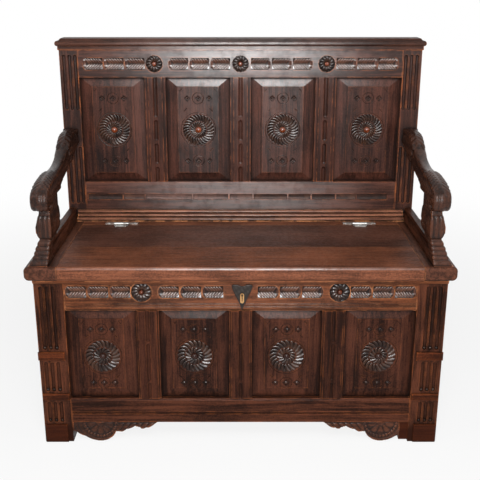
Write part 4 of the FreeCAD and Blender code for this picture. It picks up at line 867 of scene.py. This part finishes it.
# %% Lay out the leaf runs
def leaf_run(name, finish, face, height, long, tall, starts, step):
    """The blocks of one frieze: three to a group, each group mirrored on the other side."""
    block = leaf_block("leaf", long, tall)
    blocks = []
    for first in starts:
        for number in range(3):
            near = first + number * step
            blocks.append(copy_to(block, (near, face, height)))
            blocks.append(copy_to(block, (-near, face, height), size=(-1, 1, 1)))
    bpy.data.objects.remove(block)
    hand_over(join(blocks, name), finish)


leaf_run("back_leaf_run", LEAF_BACK, BACK_FACE, BACK_FRIEZE_Z, 57 * MM, 34 * MM, (0.030, 0.276), 0.0605)
leaf_run("chest_leaf_run", LEAF, CHEST_FACE, CHEST_FRIEZE_Z, 54 * MM, 33 * MM, (0.0445, 0.28505), 0.0575)

# %% [markdown]
# ## The arms
# Each arm is one length of oak, sawn to an S and then carved: its top is rounded, a leaf folds back
# over the place where it meets the post, and a longer leaf runs forward and curls down over the
# scroll. A carver works the whole surface, so no bevel will do. A copy of the sawn arm is merged,
# given an even skin by a voxel remesh and smoothed, and then the skin is pushed in and out by a few
# Displace modifiers. Each reads a vertex group, and the groups hold the carver's drawing: how far
# down from the crest a point lies, and where it falls between two veins of the leaf.

# %% Skin a frame piece so that it can be carved
MERGE = 0.00002


def skinned(node, name, grain, rounds, held=None):
    """A merged copy of a frame piece with an even skin, its arrises rounded off."""
    skin = copy_to(bpy.data.objects[node])
    skin.parent = None
    skin.name = name
    for key in [key for key in skin.keys() if key.startswith("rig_")]:
        del skin[key]
    pick(skin)
    edit_all("SELECT", bpy.ops.mesh.remove_doubles, threshold=MERGE)
    use(skin, "REMESH", mode="VOXEL", voxel_size=grain)
    weigh(skin, "free", held or (lambda co, normal: 1.0))
    return use(skin, "SMOOTH", factor=0.5, iterations=rounds, vertex_group="free")


def weigh(piece, name, rule):
    """A vertex group whose weights follow a rule of a point's place and the way it faces."""
    group = piece.vertex_groups.new(name=name)
    for point in piece.data.vertices:
        group.add([point.index], min(1.0, max(0.0, rule(point.co, point.normal))), "REPLACE")
    return group


def carve(piece, name, rule, depth):
    """Push the skin out by up to depth, or in where depth is negative.

    How far each point of a carving stands out is kept, so that the finish can paint its hollows dark,
    as black wax and as painted shade.
    """
    group = weigh(piece, name, rule)
    if depth > 0:
        proud = piece.data.attributes.get("proud") or piece.data.attributes.new("proud", "FLOAT", "POINT")
        for point in piece.data.vertices:
            weight = group.weight(point.index)
            if weight > 0.001:
                proud.data[point.index].value = weight
            elif proud.data[point.index].value == 0:
                proud.data[point.index].value = 1
    return use(piece, "DISPLACE", strength=depth, mid_level=0.0, vertex_group=name)


def eased(value, low, high):
    """0 at low, 1 at high, with a smooth start and end."""
    share = min(1.0, max(0.0, (value - low) / (high - low)))
    return share * share * (3 - 2 * share)


def veined(measure, sharp=0.7):
    """A row of rounded ridges, one to each whole number of the measure."""
    return abs(math.cos(math.pi * measure)) ** sharp


print("points closer than", MERGE, "m are merged before a skin is grown")

# %% [markdown]
# Three measures describe a point on the arm: how far along the leaf it lies, counted over the crest
# and on round the curl of the scroll, how far it is from the middle line, and how far down the side.

# %% Measure the arm
ARM_MIDDLE = 0.498
ARM_HALF = 0.0240
CURL = (-0.225, 0.688)
CURL_REACH = 0.034
CREST = ((-0.225, 0.722), (-0.170, 0.729), (-0.110, 0.731), (-0.050, 0.729), (-0.005, 0.735),
         (0.032, 0.748), (0.070, 0.767), (0.100, 0.783), (0.150, 0.789), (0.195, 0.789))


def crest_height(y):
    """The height of the arm's crest at a place from front to back."""
    for (y0, z0), (y1, z1) in zip(CREST, CREST[1:]):
        if y <= y1:
            return z0 + (z1 - z0) * max(0.0, (y - y0) / (y1 - y0))
    return CREST[-1][1]


def arm_measures(co):
    """Distance along the leaf, from the middle line, and down from the crest."""
    y, z = co.y, co.z
    if y > CURL[0]:
        along = CURL[0] - y
        down = crest_height(y) - z
    else:
        turn = math.atan2(CURL[0] - y, z - CURL[1])
        along = turn * CURL_REACH
        down = CURL_REACH - math.hypot(CURL[0] - y, z - CURL[1])
    return along, abs(co.x) - ARM_MIDDLE, max(0.0, down)


print("the crest rises from", CREST[0][1], "to", CREST[-1][1], "m")

# %% [markdown]
# With these measures the carver's drawing is a few short rules. The crown falls away to both sides.
# The front leaf has a spine with slanting veins on both sides, and breaks into three lobes where it
# curls down. The rear leaf has the same veins and a scalloped edge.

# %% Draw the arm's carving
ARM_ROOT = 0.19
SIDE_FROM, SIDE_TO = 0.010, 0.030
SCROLL_LOW = 0.664
SPINE = (0.0025, 0.0060)


def crown_rule(co, normal):
    """Fall away from the crest towards both sides, more in the smooth middle."""
    along, across, down = arm_measures(co)
    if co.y > ARM_ROOT or down > SIDE_TO:
        return 0.0
    return (abs(across) / ARM_HALF) ** 2.2 * (1 - eased(down, SIDE_FROM, SIDE_TO))


def front_leaf(co, normal):
    """Slanting veins each side of a spine, then three lobes down the curl."""
    along, across, down = arm_measures(co)
    start = 1 - eased(-along, 0.100, 0.128)
    if start <= 0 or co.z < SCROLL_LOW:
        return 0.0
    away = abs(across) + down
    scallop = veined(away / 0.017, 1)
    start = 1 - eased(-along, 0.108 + 0.014 * scallop, 0.120 + 0.014 * scallop)
    veins = veined(along / 0.0155 - away / 0.021)
    spine = 1 - eased(abs(across), *SPINE)
    lobes = veined(across / 0.0165, 0.6)
    curl = eased(along, 0.004, 0.022)
    return start * (0.30 + 0.70 * max(veins * (1 - curl) + lobes * curl, spine))


def rear_leaf(co, normal):
    """A leaf folded back over the root of the arm, with a scalloped edge."""
    along, across, down = arm_measures(co)
    away = abs(across) + down
    scallop = veined(away / 0.019, 1)
    edge = eased(co.y, 0.066 - 0.014 * scallop, 0.076 - 0.014 * scallop)
    veins = veined(co.y / 0.017 + away / 0.026)
    spine = 1 - eased(abs(across), *SPINE)
    return edge * (1 - eased(co.y, 0.186, 0.194)) * (0.45 + 0.55 * max(veins, spine))


print("the arm is carved forward of y =", ARM_ROOT)


# %% Carve the right arm and turn it over for the left
def mirrored_pair(right, name):
    """The right-hand piece and its mirror image."""
    left = copy_to(right, size=(-1, 1, 1))
    right.name = name + "_right"
    left.name = name + "_left"
    face_out(settle(left))
    return left, right


carved_arm = skinned("arm_right", "arm", 0.0022, 10, lambda co, normal: 1 - eased(co.y, 0.180, 0.192))
carve(carved_arm, "crown", crown_rule, -0.0085)
carve(carved_arm, "front_leaf", front_leaf, 0.0034)
carve(carved_arm, "rear_leaf", rear_leaf, 0.0040)
for arm, side in zip(mirrored_pair(carved_arm, "carved_arm"), ("left", "right")):
    hand_over(arm, ARM, angle=80)
    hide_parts("arm_" + side)

# %% [markdown]
# ## The arm supports
# Below the scroll each support is a small pilaster: a reeded swelling above, and below it a foot
# that spreads down in rounded steps. It is skinned and pushed in the same way. The reeds stand up
# on whichever way the face looks, and the steps go all round.

# %% Carve the supports
STEPS = (0.5155, 0.5290, 0.5400, 0.5520, 0.5640, 0.5780)
REEDS_LOW, REEDS_HIGH = 0.584, 0.645
SUPPORT_X, SUPPORT_Y = 0.4945, -0.178
REED_PITCH = 0.0125


def reed_rule(co, normal):
    """Upright reeds with round ends on the swelling of the support."""
    if co.z < REEDS_LOW or co.z > REEDS_HIGH:
        return 0.0
    across = abs(co.x) - SUPPORT_X if abs(normal.y) > abs(normal.x) else co.y - SUPPORT_Y
    rounded = max(0.0, math.sin(math.pi * (co.z - REEDS_LOW) / (REEDS_HIGH - REEDS_LOW))) ** 0.45
    return rounded * veined(across / REED_PITCH, 0.6)


def step_rule(co, normal):
    """Rounded steps down the foot of the support."""
    if co.z > STEPS[-1] or co.z < STEPS[0] or abs(normal.z) > 0.8:
        return 0.0
    for low, high in zip(STEPS, STEPS[1:]):
        if co.z <= high:
            return max(0.0, math.sin(math.pi * (co.z - low) / (high - low))) ** 0.5
    return 0.0


carved_support = skinned("arm_support_right", "support", 0.0018, 3,
                         lambda co, normal: eased(co.z, 0.514, 0.522) * (1 - eased(co.z, 0.680, 0.690)))
carve(carved_support, "reeds", reed_rule, 0.0042)
carve(carved_support, "steps", step_rule, 0.0032)
for support, side in zip(mirrored_pair(carved_support, "carved_support"), ("left", "right")):
    hand_over(support, ARM_UPRIGHT, angle=80)
    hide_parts("arm_support_" + side)

# %% [markdown]
# ## The aprons and the lock plate
# The two shaped aprons under the chest are carved on their faces only. A half flower hangs in the
# big lobe, with a button, a ring of petals and small beads near the sawn edge, and slanted leaf
# veins run out along the narrow end. The forged lock plate is only rounded and left a little uneven.

# %% Carve the aprons
LOBE = (0.3835, 0.059)
LOBE_FROM = 0.337
BUTTON, PETALS, BEADS = 0.011, 0.038, 0.048


def apron_rule(co, normal):
    """A half flower in the lobe and a veined leaf along the narrow end."""
    if normal.y > -0.6:
        return 0.0
    x, z = abs(co.x), co.z
    reach = math.hypot(x - LOBE[0], z - LOBE[1])
    turn = math.atan2(x - LOBE[0], LOBE[1] - z)
    if x <= LOBE_FROM:
        veins = veined((LOBE_FROM - x) / 0.0165 + (LOBE[1] - z) / 0.022)
        return max(0.03, veins * eased(0.0565 - z, 0.0, 0.004))
    if reach < BUTTON:
        return 1 - 0.5 * (reach / BUTTON) ** 2
    if reach < PETALS:
        rounded = math.sin(math.pi * (reach - BUTTON) / (PETALS - BUTTON)) ** 0.5
        return max(0.1, abs(math.cos(turn * 5.0)) ** 0.6 * rounded)
    if reach < BEADS:
        rounded = math.sin(math.pi * (reach - PETALS) / (BEADS - PETALS))
        return max(0.1, abs(math.cos(turn * 15.0)) ** 0.7 * rounded)
    return 0.25 + 0.6 * veined(reach / 0.011, 1)


for side in ("left", "right"):
    carved_apron = skinned("apron_" + side, "carved_apron_" + side, 0.0015, 1)
    carve(carved_apron, "flower", apron_rule, 0.0028)
    hand_over(carved_apron, APRON, angle=80)
    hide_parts("apron_" + side)

# %% Round the lock plate
def hammered(co, normal):
    """Shallow dents a few millimetres apart."""
    return 0.5 + 0.5 * math.sin(co.x * 410) * math.sin(co.z * 370 + co.x * 150)


plate = skinned("escutcheon", "lock_plate", 0.0008, 4)
weigh(plate, "hammered", hammered)
use(plate, "DISPLACE", strength=0.0007, mid_level=0.0, vertex_group="hammered")
hand_over(plate, IRON, angle=80)
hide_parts("escutcheon")

# %% [markdown]
# ## The drops of the flutes
# At the foot of every flute on the front stiles the carver left a round drop. It is a small ball,
# sunk to its middle, and the same one serves all eighteen flutes.

# %% Set the drops
FLUTE_MIDDLE, FLUTE_STEP = 0.502, 0.016
FLUTE_FEET = (0.060, 0.153, 0.2765)
drop = ball(12, 8, (6.4 * MM, 6.4 * MM, 6.4 * MM))
drops = [copy_to(drop, (side * (FLUTE_MIDDLE + step * FLUTE_STEP), CHEST_FACE + 2.6 * MM, foot + 5.4 * MM))
         for side in (-1, 1) for step in (-1, 0, 1) for foot in FLUTE_FEET]
bpy.data.objects.remove(drop)
hand_over(join(drops, "flute_drops"), WHORL)
